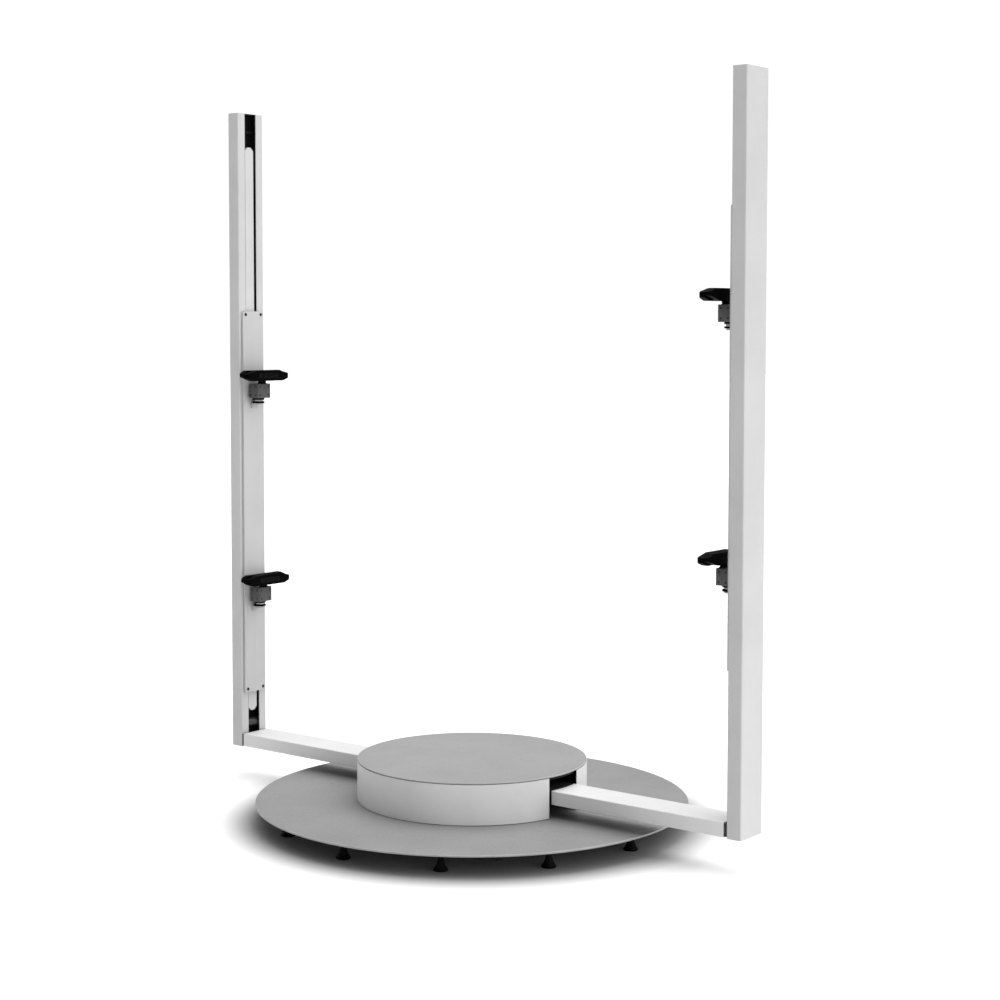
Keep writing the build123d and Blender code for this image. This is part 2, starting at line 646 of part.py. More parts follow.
def make_skirt(name, direction):
    """Half of the round skirt. direction is +1 for the rear half and -1 for the front half."""
    with BuildPart() as skirt:
        with BuildSketch(Plane.XY.offset(SKIRT_BOTTOM)):
            Circle(PLATFORM_RADIUS)
            Circle(SKIRT_INNER, mode=Mode.SUBTRACT)
            far = direction * 2 * PLATFORM_RADIUS
            near = direction * SKIRT_OPENING_HALF
            with Locations((0, (far + near) / 2)):
                Rectangle(3 * PLATFORM_RADIUS, abs(far - near), mode=Mode.INTERSECT)
        extrude(amount=SKIRT_TOP - SKIRT_BOTTOM)
        with BuildSketch(Plane.XY.offset(TURNTABLE_TOP)):
            Circle(SKIRT_INNER + SKIRT_WALL / 2)
            Circle(SKIRT_INNER - SKIRT_FLANGE_WIDTH, mode=Mode.SUBTRACT)
            with Locations((0, (far + near) / 2)):
                Rectangle(3 * PLATFORM_RADIUS, abs(far - near), mode=Mode.INTERSECT)
            for angle in SKIRT_SCREW_ANGLES:
                with PolarLocations(SKIRT_SCREW_RADIUS, 1, start_angle=direction * angle):
                    Circle(M6_RADIUS + HOLE_CLEARANCE, mode=Mode.SUBTRACT)
        extrude(amount=SKIRT_FLANGE_THICKNESS)
    save(skirt.part, name)


def make_turntable_screws():
    ring_screw = cap_screw(TURNTABLE_TOP, TURNTABLE_THICKNESS + RING_BOLT_REACH - TIP_CLEARANCE)
    beam_screw = cap_screw(TURNTABLE_TOP + BEAM_WALL, BEAM_WALL + TURNTABLE_THICKNESS)
    flange_top = TURNTABLE_TOP + SKIRT_FLANGE_THICKNESS
    skirt_screw = cap_screw(flange_top, SKIRT_FLANGE_THICKNESS + TURNTABLE_THICKNESS)
    with BuildPart() as turntable_screws:
        with PolarLocations(RING_BOLT_CIRCLE, SCREW_RING_COUNT, start_angle=HALF_STEP_ANGLE):
            add(ring_screw)
        for side in (1, -1):
            for x in BEAM_BOLTS_X:
                with Locations((side * x, -BEAM_BOLT_Y), (side * x, BEAM_BOLT_Y)):
                    add(beam_screw)
            for angle in SKIRT_SCREW_ANGLES:
                with PolarLocations(SKIRT_SCREW_RADIUS, 1, start_angle=side * angle):
                    add(skirt_screw)
    save(turntable_screws.part, "turntable_screws")


def make_spin_motor():
    with BuildPart() as spin_motor:
        with BuildSketch(Plane.XY.offset(TURNTABLE_TOP)):
            with Locations((0, PINION_CENTRE)):
                RectangleRounded(2 * SPIN_MOTOR_RADIUS, 2 * SPIN_MOTOR_RADIUS, SPIN_MOTOR_CORNER)
        extrude(amount=SPIN_MOTOR_FLANGE)
        with BuildSketch(Plane.XY.offset(TURNTABLE_TOP + SPIN_MOTOR_FLANGE)):
            with Locations((0, PINION_CENTRE)):
                Circle(SPIN_MOTOR_RADIUS - SPIN_MOTOR_STEP)
        extrude(amount=SPIN_MOTOR_HEIGHT - SPIN_MOTOR_FLANGE)
        with BuildSketch(Plane.XY.offset(TURNTABLE_TOP)):
            with Locations((0, PINION_CENTRE)):
                Circle(PINION_SHAFT_RADIUS + RUNNING_CLEARANCE)
        extrude(amount=SHAFT_REACH + TIP_CLEARANCE, mode=Mode.SUBTRACT)
    save(spin_motor.part, "spin_motor")


def make_spin_pinion():
    facing_sun = PINION_DIRECTION + 180.0 + 180.0 / PINION_TEETH
    with BuildPart() as spin_pinion:
        with BuildSketch(Plane.XY.offset(DISC_TOP + PINION_LIFT)):
            with BuildLine():
                outline = gear_outline(PINION_TEETH, facing_sun)
                Polyline(*[(x, y + PINION_CENTRE) for x, y in outline], close=True)
            make_face()
        extrude(amount=PINION_THICKNESS)
        with BuildSketch(Plane.XY.offset(DISC_TOP + PINION_LIFT)):
            with Locations((0, PINION_CENTRE)):
                Circle(PINION_SHAFT_RADIUS)
        extrude(amount=TURNTABLE_TOP + SHAFT_REACH - DISC_TOP - PINION_LIFT)
    save(spin_pinion.part, "spin_pinion")


def make_brush_block():
    front = SLIP_RING_RADIUS + BRUSH_GAP
    tip = SLIP_RING_RADIUS - TRACK_DEPTH + BRUSH_TIP_CLEARANCE
    tip_width, tip_height = BRUSH_TIP_SIZE
    with BuildPart() as brush_block:
        with BuildSketch(Plane.XY.offset(TURNTABLE_TOP)):
            bounded_rectangle(-BRUSH_WIDTH / 2, BRUSH_WIDTH / 2, -front - BRUSH_LENGTH, -front)
        extrude(amount=SLIP_RING_TOP - TURNTABLE_TOP)
        for index in range(TRACK_COUNT):
            with BuildSketch(Plane.XY.offset(track_height(index) - tip_height / 2)):
                bounded_rectangle(-tip_width / 2, tip_width / 2, -front, -tip)
            extrude(amount=tip_height)
    save(brush_block.part, "brush_block")


def make_control_unit():
    with BuildPart() as control_unit:
        with BuildSketch(Plane.XY.offset(TURNTABLE_TOP)):
            with Locations((0, CONTROL_Y)):
                RectangleRounded(CONTROL_LENGTH, CONTROL_WIDTH, CONTROL_CORNER)
        extrude(amount=CONTROL_HEIGHT)
        fillet(control_unit.edges().group_by(Axis.Z)[-1], radius=CONTROL_EDGE)
    save(control_unit.part, "control_unit")


def make_beam(name, side):
    with BuildPart() as beam:
        middle = (BEAM_BOTTOM + BEAM_TOP) / 2
        with BuildSketch(outward(side, BEAM_START, 0, middle)):
            RectangleRounded(BEAM_WIDTH, BEAM_HEIGHT, BEAM_CORNER)
            Rectangle(BEAM_WIDTH - 2 * BEAM_WALL, BEAM_HEIGHT - 2 * BEAM_WALL, mode=Mode.SUBTRACT)
        extrude(amount=BEAM_END - BEAM_START)
        with BuildSketch(level(side, BEAM_BOTTOM)):
            for x in BEAM_BOLTS_X:
                with Locations((x, -BEAM_BOLT_Y), (x, BEAM_BOLT_Y)):
                    Circle(M6_RADIUS + HOLE_CLEARANCE)
        extrude(amount=BEAM_WALL, mode=Mode.SUBTRACT)
    save(beam.part, name)


# =================================================================================================
# Column joint: plug in the beam's end, and its screws
# =================================================================================================


def make_joint_plug(name, side):
    middle = (BEAM_BOTTOM + BEAM_TOP) / 2
    inner_width = BEAM_WIDTH - 2 * BEAM_WALL - 2 * PLUG_CLEARANCE
    inner_height = BEAM_HEIGHT - 2 * BEAM_WALL - 2 * PLUG_CLEARANCE
    collar_width = COLUMN_WIDTH - 2 * PLUG_RECESS
    collar_height = BEAM_HEIGHT - 2 * PLUG_RECESS
    with BuildPart() as plug:
        with BuildSketch(outward(side, BEAM_END - PLUG_DEPTH, 0, middle)):
            Rectangle(inner_width, inner_height)
        extrude(amount=PLUG_DEPTH)
        with BuildSketch(outward(side, BEAM_END, 0, middle)):
            Rectangle(collar_width, collar_height)
        extrude(amount=PLUG_COLLAR)
        with BuildSketch(outward(side, ARM_REACH, 0, 0)):
            for z in JOINT_BOLT_Z:
                with Locations((-JOINT_BOLT_Y, z), (JOINT_BOLT_Y, z)):
                    Circle(M6_RADIUS + HOLE_CLEARANCE)
        extrude(amount=-JOINT_BOLT_REACH, mode=Mode.SUBTRACT)
    save(plug.part, name)


def make_joint_bolts():
    with BuildPart() as joint_bolts:
        for side in SIDES.values():
            for z in JOINT_BOLT_Z:
                for y in (-JOINT_BOLT_Y, JOINT_BOLT_Y):
                    with BuildSketch(outward(side, CHANNEL_FRONT, y, z)):
                        Circle(M6_HEAD_RADIUS)
                    extrude(amount=M6_HEAD_HEIGHT)
                    with BuildSketch(outward(side, CHANNEL_FRONT, y, z)):
                        Circle(M6_RADIUS)
                    extrude(amount=-(JOINT_BOLT_REACH + COLUMN_WALL - TIP_CLEARANCE))
    save(joint_bolts.part, "joint_bolts")


# =================================================================================================
# Columns, caps, rails
# =================================================================================================
def make_column(name, side):
    with BuildPart() as column:
        with BuildSketch(level(side, COLUMN_BOTTOM)):
            with Locations((ARM_REACH + COLUMN_DEPTH / 2, 0)):
                RectangleRounded(COLUMN_DEPTH, COLUMN_WIDTH, COLUMN_CORNER)
            with Locations(((CHANNEL_FRONT + CHANNEL_BACK) / 2, 0)):
                Rectangle(CHANNEL_DEPTH, 2 * CHANNEL_HALF_WIDTH, mode=Mode.SUBTRACT)
            with Locations((ARM_REACH + COLUMN_WALL / 2, 0)):
                Rectangle(COLUMN_WALL, SLOT_WIDTH, mode=Mode.SUBTRACT)
        extrude(amount=COLUMN_LENGTH)
        with BuildSketch(outward(side, ARM_REACH, 0, 0)):
            for z in JOINT_BOLT_Z:
                with Locations((-JOINT_BOLT_Y, z), (JOINT_BOLT_Y, z)):
                    Circle(M6_RADIUS + HOLE_CLEARANCE)
        extrude(amount=COLUMN_WALL, mode=Mode.SUBTRACT)
    save(column.part, name)


def make_column_caps():
    with BuildPart() as column_caps:
        for side in SIDES.values():
            for z in (COLUMN_BOTTOM, COLUMN_TOP - CAP_THICKNESS):
                with BuildSketch(level(side, z)):
                    with Locations((CHANNEL_FRONT + CHANNEL_DEPTH / 2, 0)):
                        Rectangle(CHANNEL_DEPTH, 2 * CHANNEL_HALF_WIDTH)
                extrude(amount=CAP_THICKNESS)
    save(column_caps.part, "column_caps")


def make_rail(name, side):
    with BuildPart() as rail:
        with BuildSketch(level(side, RAIL_BOTTOM)):
            with Locations((RAIL_FRONT + RAIL_HEAD / 2, 0)):
                Rectangle(RAIL_HEAD, RAIL_WIDTH)
            with Locations((RAIL_FRONT + RAIL_HEIGHT / 2, 0)):
                Rectangle(RAIL_HEIGHT, RAIL_WEB_WIDTH)
            with Locations((CHANNEL_BACK - RAIL_FOOT / 2, 0)):
                Rectangle(RAIL_FOOT, RAIL_WIDTH)
        extrude(amount=RAIL_TOP - RAIL_BOTTOM)
        half = RAIL_WIDTH / 2
        with BuildSketch(outward(side, RAIL_FRONT, 0, 0)):
            with BuildLine():
                Polyline(
                    (-half + RAIL_CHAMFER, RAIL_BOTTOM),
                    (half - RAIL_CHAMFER, RAIL_BOTTOM),
                    (half, RAIL_BOTTOM + RAIL_CHAMFER),
                    (half, RAIL_TOP - RAIL_CHAMFER),
                    (half - RAIL_CHAMFER, RAIL_TOP),
                    (-half + RAIL_CHAMFER, RAIL_TOP),
                    (-half, RAIL_TOP - RAIL_CHAMFER),
                    (-half, RAIL_BOTTOM + RAIL_CHAMFER),
                    close=True,
                )
            make_face()
        extrude(amount=RAIL_HEIGHT, mode=Mode.INTERSECT)
    save(rail.part, name)


# =================================================================================================
# Belt drive
# =================================================================================================
def pulley_outline():
    """Closed outline of a toothed pulley: a flat tip and a flat root for each tooth."""
    tip = PULLEY_RADIUS
    root = PULLEY_RADIUS - PULLEY_TOOTH_DEPTH
    step = 2 * math.pi / PULLEY_TEETH
    points = []
    for tooth in range(PULLEY_TEETH):
        start = tooth * step
        for radius, share in ((tip, -0.22), (tip, 0.22), (root, 0.32), (root, 0.68)):
            angle = start + share * step
            points.append((radius * math.cos(angle), radius * math.sin(angle)))
    return points


def make_drive_pulley(name, side):
    """Toothed pulley with its shaft, which reaches back into the lift motor."""
    near = BELT_Y - PULLEY_WIDTH / 2
    with BuildPart() as pulley:
        with BuildSketch(crosswise(side, PULLEY_X, near, DRIVE_Z)):
            with BuildLine():
                Polyline(*pulley_outline(), close=True)
            make_face()
        extrude(amount=PULLEY_WIDTH)
        with BuildSketch(crosswise(side, PULLEY_X, near - MOTOR_GAP - SHAFT_INTO_MOTOR, DRIVE_Z)):
            Circle(PULLEY_SHAFT_RADIUS)
        extrude(amount=MOTOR_GAP + SHAFT_INTO_MOTOR + PULLEY_WIDTH)
    save(pulley.part, name)


def make_lift_motor(name, side):
    face = BELT_Y - PULLEY_WIDTH / 2 - MOTOR_GAP
    with BuildPart() as motor:
        with BuildSketch(crosswise(side, PULLEY_X, face - MOTOR_LENGTH, DRIVE_Z)):
            Circle(MOTOR_RADIUS)
        extrude(amount=MOTOR_LENGTH)
        with BuildSketch(crosswise(side, PULLEY_X, face - MOTOR_LENGTH, DRIVE_Z)):
            Rectangle(CHANNEL_DEPTH, MOTOR_RADIUS)
        extrude(amount=MOTOR_BRACKET)
        with BuildSketch(crosswise(side, PULLEY_X, face, DRIVE_Z)):
            Circle(PULLEY_SHAFT_RADIUS + RUNNING_CLEARANCE)
        extrude(amount=-(SHAFT_INTO_MOTOR + TIP_CLEARANCE), mode=Mode.SUBTRACT)
    save(motor.part, name)


def make_idler_pulley(name, side):
    near = BELT_Y - PULLEY_WIDTH / 2
    with BuildPart() as pulley:
        with BuildSketch(crosswise(side, PULLEY_X, near, IDLER_Z)):
            with BuildLine():
                Polyline(*pulley_outline(), close=True)
            make_face()
            Circle(PULLEY_SHAFT_RADIUS + RUNNING_CLEARANCE, mode=Mode.SUBTRACT)
        extrude(amount=PULLEY_WIDTH)
    save(pulley.part, name)


def make_idler_axles():
    """Pins across the channel that carry the idler pulleys, each with a shoulder by the pulley."""
    near = BELT_Y - PULLEY_WIDTH / 2
    far = BELT_Y + PULLEY_WIDTH / 2
    with BuildPart() as idler_axles:
        for side in SIDES.values():
            with BuildSketch(crosswise(side, PULLEY_X, -CHANNEL_HALF_WIDTH, IDLER_Z)):
                Circle(PULLEY_SHAFT_RADIUS)
            extrude(amount=2 * CHANNEL_HALF_WIDTH)
            with BuildSketch(crosswise(side, PULLEY_X, -CHANNEL_HALF_WIDTH, IDLER_Z)):
                Circle(PULLEY_SHAFT_RADIUS + AXLE_SHOULDER)
            extrude(amount=CHANNEL_HALF_WIDTH + near - AXLE_END_PLAY)
            with BuildSketch(crosswise(side, PULLEY_X, far + AXLE_END_PLAY, IDLER_Z)):
                Circle(PULLEY_SHAFT_RADIUS + AXLE_SHOULDER)
            extrude(amount=CHANNEL_HALF_WIDTH - far - AXLE_END_PLAY)
    save(idler_axles.part, "idler_axles")


def make_belt(name, side):
    """Closed belt loop round both pulleys."""
    inner = PULLEY_RADIUS + RUNNING_CLEARANCE
    outer = inner + BELT_THICKNESS
    centre_z = (DRIVE_Z + IDLER_Z) / 2
    span = IDLER_Z - DRIVE_Z
    with BuildPart() as belt:
        with BuildSketch(crosswise(side, PULLEY_X, BELT_Y - BELT_WIDTH / 2, centre_z)):
            SlotCenterToCenter(span, 2 * outer, rotation=90)
            SlotCenterToCenter(span, 2 * inner, rotation=90, mode=Mode.SUBTRACT)
        extrude(amount=BELT_WIDTH)
    save(belt.part, name)


# =================================================================================================
# Carriages
# =================================================================================================
def plate_section():
    """Section of the carriage plate: a flat back and a face that rises to a low ridge in the middle."""
    half = PLATE_WIDTH / 2
    return [
        (PLATE_BACK, -half),
        (PLATE_BACK, half),
        (PLATE_FACE, half),
        (PLATE_FACE - PLATE_RIDGE, 0),
        (PLATE_FACE, -half),
    ]


def make_carriage_plate(name, side, bottom):
    half = PLATE_WIDTH / 2
    with BuildPart() as plate:
        with BuildSketch(level(side, bottom)):
            with BuildLine():
                Polyline(*plate_section(), close=True)
            make_face()
        extrude(amount=PLATE_LENGTH)
        top = bottom + PLATE_LENGTH
        with BuildSketch(outward(side, PLATE_FACE - PLATE_RIDGE, 0, 0)):
            with BuildLine():
                Polyline(
                    (-half, bottom),
                    (half, bottom),
                    (half, top - PLATE_CHAMFER),
                    (half - PLATE_CHAMFER, top),
                    (-half + PLATE_CHAMFER, top),
                    (-half, top - PLATE_CHAMFER),
                    close=True,
                )
            make_face()
        extrude(amount=PLATE_THICKNESS + PLATE_RIDGE, mode=Mode.INTERSECT)
        for edge in (bottom + PLATE_SCREW_INSET, top - PLATE_SCREW_INSET):
            with BuildSketch(outward(side, PLATE_BACK, 0, 0)):
                with Locations((-PLATE_SCREW_Y, edge), (PLATE_SCREW_Y, edge)):
                    Circle(PLATE_SCREW_RADIUS)
            extrude(amount=-(PLATE_THICKNESS + PLATE_RIDGE), mode=Mode.SUBTRACT)
    save(plate.part, name)


def runner_bottoms(bottom):
    """Heights of the lower ends of the runner blocks behind one plate."""
    first = bottom + RUNNER_INSET
    last = bottom + PLATE_LENGTH - RUNNER_INSET - RUNNER_LENGTH
    step = (last - first) / (RUNNER_COUNT - 1)
    return [first + index * step for index in range(RUNNER_COUNT)]


def make_runners(name, side, bottom):
    rail_half = RAIL_WIDTH / 2 + SLIDE_CLEARANCE
    bridge_back = RAIL_FRONT - SLIDE_CLEARANCE
    hook_front = RAIL_FRONT + RAIL_HEAD + SLIDE_CLEARANCE
    hook_back = hook_front + HOOK_DEPTH
    hook_tip = RAIL_WEB_WIDTH / 2 + HOOK_CLEARANCE
    with BuildPart() as runners:
        for z in runner_bottoms(bottom):
            with BuildSketch(level(side, z)):
                bounded_rectangle(PLATE_BACK, bridge_back, -RUNNER_HALF, RUNNER_HALF)
                for direction in (1, -1):
                    low, high = sorted((direction * rail_half, direction * RUNNER_HALF))
                    bounded_rectangle(PLATE_BACK, hook_back, low, high)
                    low, high = sorted((direction * hook_tip, direction * RUNNER_HALF))
                    bounded_rectangle(hook_front, hook_back, low, high)
            extrude(amount=RUNNER_LENGTH)
    save(runners.part, name)


def make_belt_clamp(name, side, bottom):
    """Jaw from the middle runner's side to the belt's front run, closed on both faces of it."""
    belt_inner = PULLEY_X - PULLEY_RADIUS - RUNNING_CLEARANCE
    belt_outer = belt_inner - BELT_THICKNESS
    front = belt_outer - CLAMP_CLEARANCE
    back = belt_inner + CLAMP_CLEARANCE
    middle = runner_bottoms(bottom)[RUNNER_COUNT // 2] + RUNNER_LENGTH / 2
    belt_near = BELT_Y - BELT_WIDTH / 2 - CLAMP_CLEARANCE
    clamp_far = BELT_Y + BELT_WIDTH / 2
    with BuildPart() as clamp:
        with BuildSketch(level(side, middle - CLAMP_LENGTH / 2)):
            bounded_rectangle(front - CLAMP_LIP, back + CLAMP_LIP, RUNNER_HALF, belt_near)
            bounded_rectangle(front - CLAMP_LIP, front, RUNNER_HALF, clamp_far)
            bounded_rectangle(back, back + CLAMP_LIP, RUNNER_HALF, clamp_far)
        extrude(amount=CLAMP_LENGTH)
    save(clamp.part, name)


# =================================================================================================
# Depth cameras: shelf, lock disc, pan mount, housing, window
# =================================================================================================


def make_sensor_shelves(name, side, tops):
    """Angle brackets on the plate, each with its fixed lock disc. tops are the blocks' top heights."""
    with BuildPart() as shelves:
        for top in tops:
            shelf_top = top - BLOCK_HEIGHT - STACK_HEIGHT
            with BuildSketch(level(side, shelf_top - SHELF_THICKNESS)):
                bounded_rectangle(PAN_X, PLATE_FACE, -SHELF_WIDTH / 2, SHELF_WIDTH / 2)
                with Locations((PAN_X, 0)):
                    Circle(SHELF_WIDTH / 2)
            extrude(amount=SHELF_THICKNESS)
            with BuildSketch(level(side, shelf_top - SHELF_LEG)):
                front = PLATE_FACE - SHELF_THICKNESS
                bounded_rectangle(front, PLATE_FACE, -SHELF_WIDTH / 2, SHELF_WIDTH / 2)
            extrude(amount=SHELF_LEG)
            with BuildSketch(level(side, shelf_top)):
                with Locations((PAN_X, 0)):
                    Circle(LOCK_DISC_RADIUS)
            extrude(amount=LOCK_DISC_THICKNESS)
        with BuildSketch(level(side, 0)):
            with BuildLine():
                Polyline(*plate_section(), close=True)
            make_face()
        extrude(amount=COLUMN_TOP, mode=Mode.SUBTRACT)
    save(shelves.part, name)


def make_pan_mount(name, side, top):
    """Block with the turning disc under it and the neck's knuckle on top of it."""
    block_bottom = top - BLOCK_HEIGHT
    pivot = top + NECK_HEIGHT
    with BuildPart() as mount:
        with BuildSketch(level(side, block_bottom)):
            with Locations((BLOCK_X, 0)):
                Rectangle(BLOCK_DEPTH, BLOCK_WIDTH)
        extrude(amount=BLOCK_HEIGHT)
        chamfer(mount.edges().filter_by(Axis.Z), length=BLOCK_EDGE)
        with BuildSketch(crosswise(side, BLOCK_X, -BLOCK_WIDTH / 2, block_bottom + BLOCK_HEIGHT / 2)):
            with GridLocations(BLOCK_DEPTH - 2 * BLOCK_HOLE_EDGE, BLOCK_HEIGHT - 2 * BLOCK_HOLE_EDGE, 2, 2):
                Circle(BLOCK_HOLE_RADIUS)
        extrude(amount=BLOCK_HOLE_DEPTH, mode=Mode.SUBTRACT)
        front = outward(side, BLOCK_X - BLOCK_DEPTH / 2, 0, block_bottom + BLOCK_HEIGHT / 2)
        with BuildSketch(front):
            with GridLocations(BLOCK_WIDTH - 2 * BLOCK_HOLE_EDGE, BLOCK_HEIGHT - 2 * BLOCK_HOLE_EDGE, 2, 2):
                Circle(BLOCK_HOLE_RADIUS)
        extrude(amount=BLOCK_HOLE_DEPTH, mode=Mode.SUBTRACT)
        with BuildSketch(level(side, block_bottom - LOCK_DISC_THICKNESS)):
            with Locations((PAN_X, 0)):
                Circle(LOCK_DISC_RADIUS)
        extrude(amount=LOCK_DISC_THICKNESS)
        with BuildSketch(level(side, block_bottom - LOCK_DISC_THICKNESS - SPACER_THICKNESS)):
            with Locations((PAN_X, 0)):
                Circle(SPACER_RADIUS)
        extrude(amount=SPACER_THICKNESS)
        with BuildSketch(level(side, top)):
            with Locations((TILT_X, 0)):
                Rectangle(2 * NECK_FLARE, 2 * NECK_FLARE)
        with BuildSketch(level(side, top + NECK_HEIGHT / 2)):
            with Locations((TILT_X, 0)):
                Rectangle(2 * NECK_WAIST, KNUCKLE_WIDTH)
        loft(ruled=True)
        with BuildSketch(level(side, top + NECK_HEIGHT / 2)):
            with Locations((TILT_X, 0)):
                Rectangle(2 * NECK_WAIST, KNUCKLE_WIDTH)
        extrude(amount=NECK_HEIGHT / 2)
        with BuildSketch(crosswise(side, TILT_X, -KNUCKLE_WIDTH / 2, pivot)):
            Circle(KNUCKLE_RADIUS)
        extrude(amount=KNUCKLE_WIDTH)
    save(mount.part, name)


def end_outline(top_cut, bottom_cut):
    """Elevation outline of a housing half: a bar with a long or short cut at each corner."""
    half = HOUSING_LENGTH / 2
    return [
        (-half + bottom_cut[0], 0),
        (half - bottom_cut[0], 0),
        (half, bottom_cut[1]),
        (half, HOUSING_HEIGHT - top_cut[1]),
        (half - top_cut[0], HOUSING_HEIGHT),
        (-half + top_cut[0], HOUSING_HEIGHT),
        (-half, HOUSING_HEIGHT - top_cut[1]),
        (-half, bottom_cut[1]),
    ]


def make_sensor_housing(name, side, top):
    pivot = top + NECK_HEIGHT
    front = HOUSING_X - HOUSING_DEPTH / 2
    with BuildPart() as housing:
        with BuildSketch(outward(side, front, 0, pivot)):
            with BuildLine():
                Polyline(*end_outline(FRONT_TOP_CUT, FRONT_BOTTOM_CUT), close=True)
            make_face()
        extrude(amount=HOUSING_DEPTH / 2)
        with BuildSketch(outward(side, HOUSING_X, 0, pivot)):
            with BuildLine():
                Polyline(*end_outline(REAR_TOP_CUT, REAR_BOTTOM_CUT), close=True)
            make_face()
        extrude(amount=HOUSING_DEPTH / 2)
        with BuildSketch(level(side, pivot)):
            with Locations((HOUSING_X, 0)):
                RectangleRounded(HOUSING_DEPTH, HOUSING_LENGTH, HOUSING_CORNER)
        extrude(amount=HOUSING_HEIGHT, mode=Mode.INTERSECT)
        slot_near = -KNUCKLE_WIDTH / 2 - KNUCKLE_SIDE_GAP
        with BuildSketch(crosswise(side, TILT_X, slot_near, pivot)):
            Circle(KNUCKLE_RADIUS + RUNNING_CLEARANCE)
        extrude(amount=KNUCKLE_WIDTH + 2 * KNUCKLE_SIDE_GAP, mode=Mode.SUBTRACT)
        with BuildSketch(outward(side, front, 0, pivot + HOUSING_HEIGHT / 2)):
            RectangleRounded(WINDOW_LENGTH, WINDOW_HEIGHT, WINDOW_CORNER)
        extrude(amount=WINDOW_THICKNESS - WINDOW_PROUD, mode=Mode.SUBTRACT)
    save(housing.part, name)


def make_sensor_window(name, side, top):
    pivot = top + NECK_HEIGHT
    front = HOUSING_X - HOUSING_DEPTH / 2 - WINDOW_PROUD
    length = WINDOW_LENGTH - 2 * WINDOW_FIT
    height = WINDOW_HEIGHT - 2 * WINDOW_FIT
    with BuildPart() as window:
        with BuildSketch(outward(side, front, 0, pivot + HOUSING_HEIGHT / 2)):
            RectangleRounded(length, height, WINDOW_CORNER)
        extrude(amount=WINDOW_THICKNESS)
    save(window.part, name)


# =================================================================================================
# Build everything
# =================================================================================================
make_base_disc()
make_base_ribs()
make_levelling_feet()
make_power_inlet()
make_center_post()
make_bearing_ring("bearing_inner_ring", POST_RADIUS, BALL_CIRCLE - RACE_GAP, 0)
make_bearing_ring("bearing_outer_ring", BALL_CIRCLE + RACE_GAP, BEARING_OUTER, SCREW_RING_COUNT)
make_bearing_balls()
make_sun_gear()
make_slip_ring()
make_post_screws()
make_platform_frame()
make_platform_top()
make_turntable()
make_turntable_screws()
make_skirt("front_skirt", -1)
make_skirt("rear_skirt", 1)
make_spin_motor()
make_spin_pinion()
make_brush_block()
make_control_unit()
make_joint_bolts()
make_column_caps()
make_idler_axles()
for side_name, side_frame in SIDES.items():
    lower_end = PLATE_BOTTOMS[side_name]
    make_beam(f"{side_name}_beam", side_frame)
    make_joint_plug(f"{side_name}_joint_plug", side_frame)
    make_column(f"{side_name}_column", side_frame)
    make_rail(f"{side_name}_rail", side_frame)
    make_lift_motor(f"{side_name}_lift_motor", side_frame)
    make_drive_pulley(f"{side_name}_drive_pulley", side_frame)
    make_idler_pulley(f"{side_name}_idler_pulley", side_frame)
    make_belt(f"{side_name}_belt", side_frame)
    make_carriage_plate(f"{side_name}_carriage_plate", side_frame, lower_end)
    make_runners(f"{side_name}_runners", side_frame, lower_end)
    make_belt_clamp(f"{side_name}_belt_clamp", side_frame, lower_end)
    block_tops = [SENSOR_HEIGHTS[side_name, height] for height in ("upper", "lower")]
    make_sensor_shelves(f"{side_name}_sensor_shelves", side_frame, block_tops)
for (side_name, height), block_top in SENSOR_HEIGHTS.items():
    prefix = f"{side_name}_{height}"
    make_pan_mount(f"{prefix}_pan_mount", SIDES[side_name], block_top)
    make_sensor_housing(f"{prefix}_sensor_housing", SIDES[side_name], block_top)
    make_sensor_window(f"{prefix}_sensor_window", SIDES[side_name], block_top)
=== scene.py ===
"""Looks of the rotating body scanner: finishes for every CAD node and the finer visible pieces.

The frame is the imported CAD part, in metres: origin on the floor under the turning axis, +Z up, +X along
the beam. The camera bars with their mount blocks and brackets, the two round plates, the feet, the rail
caps and the plate screws are made here as smooth surfaces. Everything else is the CAD shape with its
finish put on.
"""

import logging
import math
from dataclasses import dataclass, field
from enum import Enum
from typing import Any, Sequence

import bpy
import numpy as np
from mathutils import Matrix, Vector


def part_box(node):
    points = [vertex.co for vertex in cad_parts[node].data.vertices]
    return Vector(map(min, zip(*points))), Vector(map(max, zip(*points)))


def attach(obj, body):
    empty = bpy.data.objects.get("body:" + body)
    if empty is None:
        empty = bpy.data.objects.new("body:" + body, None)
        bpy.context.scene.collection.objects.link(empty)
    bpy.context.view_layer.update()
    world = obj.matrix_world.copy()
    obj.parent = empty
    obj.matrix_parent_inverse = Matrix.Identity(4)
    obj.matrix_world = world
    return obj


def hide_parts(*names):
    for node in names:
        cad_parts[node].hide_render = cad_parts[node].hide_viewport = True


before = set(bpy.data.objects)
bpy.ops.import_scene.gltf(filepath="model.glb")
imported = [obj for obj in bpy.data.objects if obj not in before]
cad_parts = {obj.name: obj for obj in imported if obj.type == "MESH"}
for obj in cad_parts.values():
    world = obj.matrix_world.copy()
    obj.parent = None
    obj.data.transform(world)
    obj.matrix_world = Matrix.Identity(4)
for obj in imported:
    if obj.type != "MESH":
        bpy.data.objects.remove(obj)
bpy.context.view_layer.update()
LOG = logging.getLogger("scanner")
MM = 0.001

# The space inside a column whose coat is painted near black as painted shade: from behind its slot's lips to
# its back wall, between its side walls.
CHANNEL_NEAR = 803.2 * MM
CHANNEL_FAR = 837.5 * MM
CHANNEL_HALF_WIDTH = 46.4 * MM
# The painted shade inside the drum ends just within the skirt's outer face.
DRUM_SHELL = 298.8 * MM
# Near-black tint of the painted shade inside the columns and the drum.
PAINTED_SHADE_TINT = "1c1c1d"


class Side(Enum):
    """The two ends of the arm. The value is the sign of X there."""

    LEFT = -1
    RIGHT = 1

    @property
    def word(self) -> str:
        """The side's name as the CAD nodes spell it."""
        return self.name.lower()


